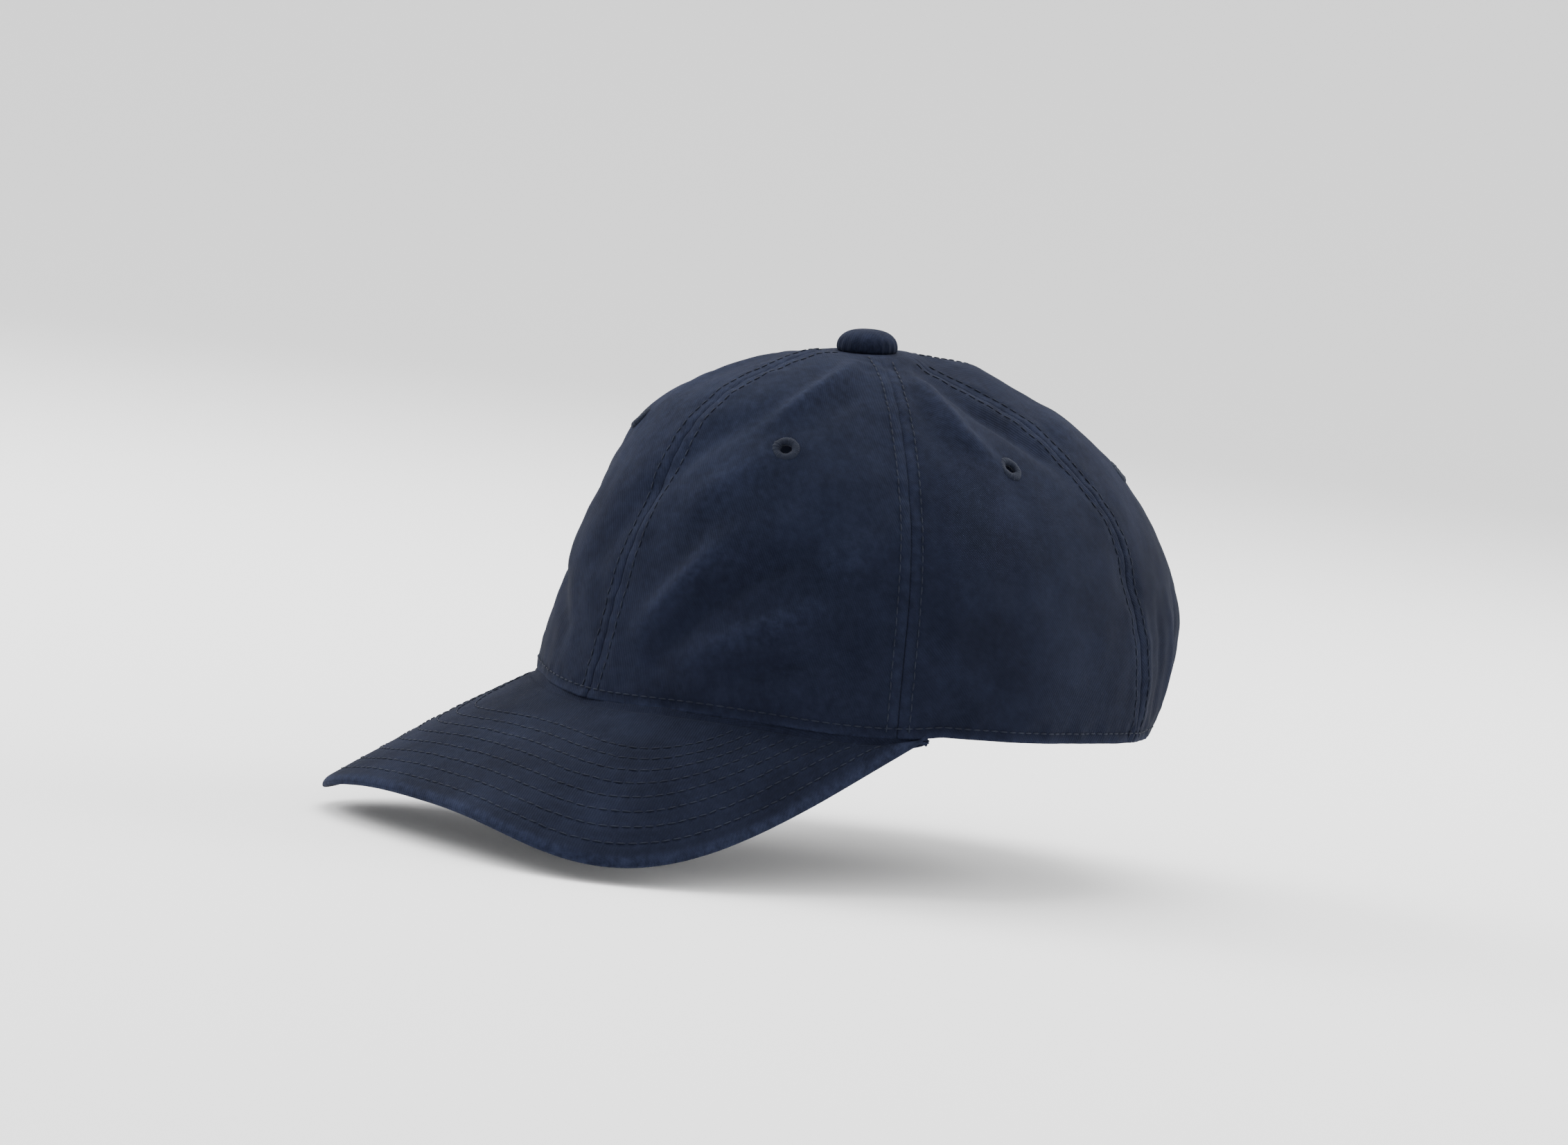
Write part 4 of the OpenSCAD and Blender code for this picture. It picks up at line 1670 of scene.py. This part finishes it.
@dataclass
class Closure:
    """The strap across the back, its tab and the clamp buckle."""

    form: CrownForm
    dress: Wardrobe
    strap_w: float = 19.0
    strap_t: float = 1.5
    strap_z: float = 3.0
    strap_depth: float = 2.6
    lap: float = 14.0
    tail: float = 12.0
    tab_start: float = 19.7
    tab_lap: float = 12.0
    tab_t: float = 0.8
    tab_depth: float = 6.9
    sewn_depth: float = 1.5
    edge_off: float = 2.2

    def point(self, u: Grid, h: Grid, depth: Grid) -> Grid:
        """Points of a band at u along it, h up it and a depth below the crown's face.

        Args:
            u: Distances from the back seam.
            h: Heights above the band's lower edge.
            depth: Depths below the crown's face.

        Returns:
            Points in millimetres.
        """
        t = self.form.rear_angle(u)
        v = self.form.share_at_z(t, self.strap_z + h)
        return self.form.point(t, v) - np.asarray(depth)[..., None] * self.form.outward(t, v)

    def band(self, name: str, ends: tuple[float, float], depth: Callable[[Grid], Grid],
             thickness: float, inner: bool) -> None:
        """Makes a band of twill across the back, with a stitched row along each edge.

        Args:
            name: The CAD node that it stands for.
            ends: Where it starts and ends along the back, in millimetres.
            depth: Gives its depth below the crown's face from the place along it.
            thickness: Thickness in millimetres.
            inner: Whether the stitches lie on its inner face.
        """
        length = ends[1] - ends[0]
        along = np.linspace(*ends, int(length * 1.2))
        mesh = sheet_mesh(name, along, np.linspace(0, self.strap_w, 22),
                          lambda u, h: self.point(u, h, depth(u)),
                          wear=lambda u, h: 0.5 * (bell(h, 0.9) + bell(h - self.strap_w, 0.9)))
        piece = finish_piece(f"{name}_twill", mesh, self.dress.twill, nodes=(name,))
        thicken(piece, thickness)
        u = np.linspace(ends[0] + 2, ends[1] - 2, 200)
        t = self.form.rear_angle(u)
        out = self.form.outward(t, np.full(t.shape, 0.1)) * (-1 if inner else 1)
        rows = [(self.point(u, np.full(u.shape, h), depth(u) + thickness * inner), out)
                for h in (self.edge_off, self.strap_w - self.edge_off)]
        Needle().piece(f"{name}_stitching", rows, self.dress.thread)

    def plate(self, *names: str) -> None:
        """Dresses metal parts of the CAD model in brass.

        Args:
            names: The CAD nodes.
        """
        for name in names:
            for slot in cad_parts[name].material_slots:
                slot.material = self.dress.brass

    def build(self) -> None:
        """Makes the closure."""
        tail_end = self.form.arch_half_w + self.tail
        self.band("strap", (-self.form.arch_half_w - self.lap, tail_end),
                  lambda u: np.full(u.shape, self.strap_depth), self.strap_t, inner=False)
        rise = self.tab_depth - self.sewn_depth
        self.band("buckle_tab", (self.tab_start, tail_end + self.tab_lap),
                  lambda u: self.tab_depth - rise * smooth(tail_end + 1.0, tail_end + 7.0, u),
                  self.tab_t, inner=True)
        self.plate("buckle_base", "buckle_pin", "buckle_lever", "button_prong")


# ---------------------------------------------------------------- the studio


@dataclass(frozen=True)
class Lamp:
    """A round soft lamp: its name, its place and width in metres, and its watts."""

    name: str
    place: tuple[float, float, float]
    width: float
    power: float


@dataclass
class Studio:
    """Camera, pale floor and soft lights."""

    azimuth: float = 49.13
    elevation: float = 4.31
    roll: float = -7.42
    distance: float = 1.6
    lens: float = 120.6
    aim_right: float = -0.0187
    aim_up: float = 0.0380
    floor_r: float = 3.0
    sweep_r: float = 2.0
    sky: float = 1.5
    lamps: tuple[Lamp, ...] = (
        Lamp("overhead", (-0.5, 0.3, 1.9), 1.8, 46.0),
        Lamp("left", (-1.6, -0.9, 1.2), 1.4, 40.0),
        Lamp("behind", (0.5, 1.8, 1.0), 1.2, 34.0),
    )

    def camera(self) -> None:
        """Makes the camera."""
        a, e, r = (math.radians(v) for v in (self.azimuth, self.elevation, self.roll))
        back = Vector((math.sin(a) * math.cos(e), -math.cos(a) * math.cos(e), math.sin(e)))
        level = Vector((math.cos(a), math.sin(a), 0.0))
        rise = back.cross(level)
        right = level * math.cos(r) - rise * math.sin(r)
        up = level * math.sin(r) + rise * math.cos(r)
        target = right * self.aim_right + up * self.aim_up
        data = bpy.data.cameras.new("camera")
        data.lens = self.lens
        data.sensor_width = 36.0
        data.clip_start, data.clip_end = 0.05, 50.0
        camera = bpy.data.objects.new("camera", data)
        turn = Matrix((right, up, back)).transposed().to_4x4()
        camera.matrix_world = Matrix.Translation(target + back * self.distance) @ turn
        bpy.context.scene.collection.objects.link(camera)
        bpy.context.scene.camera = camera

    def floor(self) -> None:
        """Makes the pale floor, which sweeps up into a wall all round."""
        turn = [math.radians(a) for a in range(0, 91, 6)]
        sweep = [(self.floor_r + self.sweep_r * math.sin(a), self.sweep_r * (1 - math.cos(a)))
                 for a in turn]
        bm = bmesh.new()
        spin_round(bm, chain(bm, [(0.0, 0.0), *sweep]), 96, 1e-4)
        bmesh.ops.recalc_face_normals(bm, faces=bm.faces)
        bmesh.ops.translate(bm, verts=bm.verts, vec=(0.0, 0.0, CAD_BOX[0][2] - 0.002))
        mesh = made(bm, "floor")
        mesh.shade_smooth()
        material, shader = new_material("pale_floor")
        set_inputs(shader, Base_Color=(0.9, 0.9, 0.9, 1.0), Roughness=0.9)
        mesh.materials.append(material)
        floor = bpy.data.objects.new("floor", mesh)
        bpy.context.scene.collection.objects.link(floor)

    def light(self, lamp: Lamp) -> None:
        """Makes one lamp, which faces the cap.

        Args:
            lamp: The lamp.
        """
        data = bpy.data.lights.new(lamp.name, "AREA")
        data.shape = "DISK"
        data.size = lamp.width
        data.energy = lamp.power
        light = bpy.data.objects.new(lamp.name, data)
        light.location = lamp.place
        aim = Vector((0.0, 0.0, 0.05)) - Vector(lamp.place)
        light.rotation_euler = aim.to_track_quat("-Z", "Y").to_euler()
        bpy.context.scene.collection.objects.link(light)

    def build(self) -> None:
        """Makes the studio."""
        self.camera()
        self.floor()
        for lamp in self.lamps:
            self.light(lamp)
        world = bpy.data.worlds.new("studio")
        world.use_nodes = True
        set_inputs(world.node_tree.nodes["Background"], Color=(1.0, 1.0, 1.0, 1.0), Strength=self.sky)
        bpy.context.scene.world = world


# ---------------------------------------------------------------- the whole cap

# Ridges and valleys of the worn cloth. Positive angles are on the wearer's left.
FOLDS = (
    Fold(((42, 0.88), (36, 0.78), (31, 0.69), (24, 0.57)), 2.3, 3.0),
    Fold(((50, 0.86), (44, 0.74), (37, 0.62)), -1.4, 4.0),
    Fold(((84, 0.90), (81, 0.80), (83, 0.72), (90, 0.66)), 2.2, 4.0),
    Fold(((74, 0.86), (72, 0.76), (74, 0.66)), -1.4, 4.5),
    Fold(((96, 0.88), (103, 0.80), (108, 0.72), (114, 0.64)), -2.5, 5.0),
    Fold(((22, 0.60), (13, 0.51), (0, 0.34), (-10, 0.18)), -2.6, 6.0),
    Fold(((30, 0.50), (22, 0.40), (12, 0.28)), 1.6, 5.5),
    Fold(((43, 0.31), (34, 0.24), (24, 0.15), (15, 0.06)), -3.6, 4.2),
    Fold(((27, 0.28), (18, 0.18), (10, 0.10)), 2.5, 4.0),
    Fold(((46, 0.21), (36, 0.14), (24, 0.07)), 2.8, 4.0),
    Fold(((50, 0.14), (42, 0.10), (33, 0.055)), -2.8, 3.2),
    Fold(((56, 0.24), (54, 0.16), (51, 0.08)), -2.4, 3.2),
    Fold(((58, 0.42), (50, 0.33), (44, 0.30)), 1.5, 4.5),
    Fold(((117, 0.42), (120, 0.30)), -1.8, 6.0),
    Fold(((-41, 0.74), (-41, 0.60), (-42, 0.46)), 2.9, 15.0),
    Fold(((126, 0.71), (139, 0.70), (152, 0.71)), 1.8, 8.0),
    Fold(((-34, 0.36), (-41, 0.28), (-50, 0.22)), -2.4, 6.5),
    Fold(((-38, 0.86), (-30, 0.66)), 1.6, 4.0),
    Fold(((-42, 0.20), (-30, 0.14), (-16, 0.08)), -2.0, 4.5),
    Fold(((-86, 0.86), (-84, 0.70)), 1.7, 4.5),
    Fold(((-100, 0.84), (-110, 0.66)), -2.0, 5.5),
    Fold(((-78, 0.30), (-96, 0.20)), -1.5, 6.5),
)
# Small gathers on both sides of the back opening, where the strap draws the cloth in.
PLEATS = tuple(
    Fold(((sign * (180 - near), 0.30), (sign * (180 - near - 1), 0.02)), high, 2.6)
    for sign in (1, -1)
    for near, high in ((30, 1.0), (36, -1.2), (43, 1.1), (50, -1.0), (57, 0.8))
)


def main() -> None:
    """Builds the cap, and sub-assembly by sub-assembly."""
    logging.basicConfig(level=logging.INFO, format="%(name)s: %(message)s")
    dress = Wardrobe()
    form = CrownForm()
    cloth = Cloth(form, FOLDS + PLEATS)
    Studio().build()
    Crown(form, cloth, dress).build()
    Bill(BillForm(form), dress).build()
    Lining(form, cloth, dress).build()
    Closure(form, dress).build()


if __name__ == "__main__":
    main()
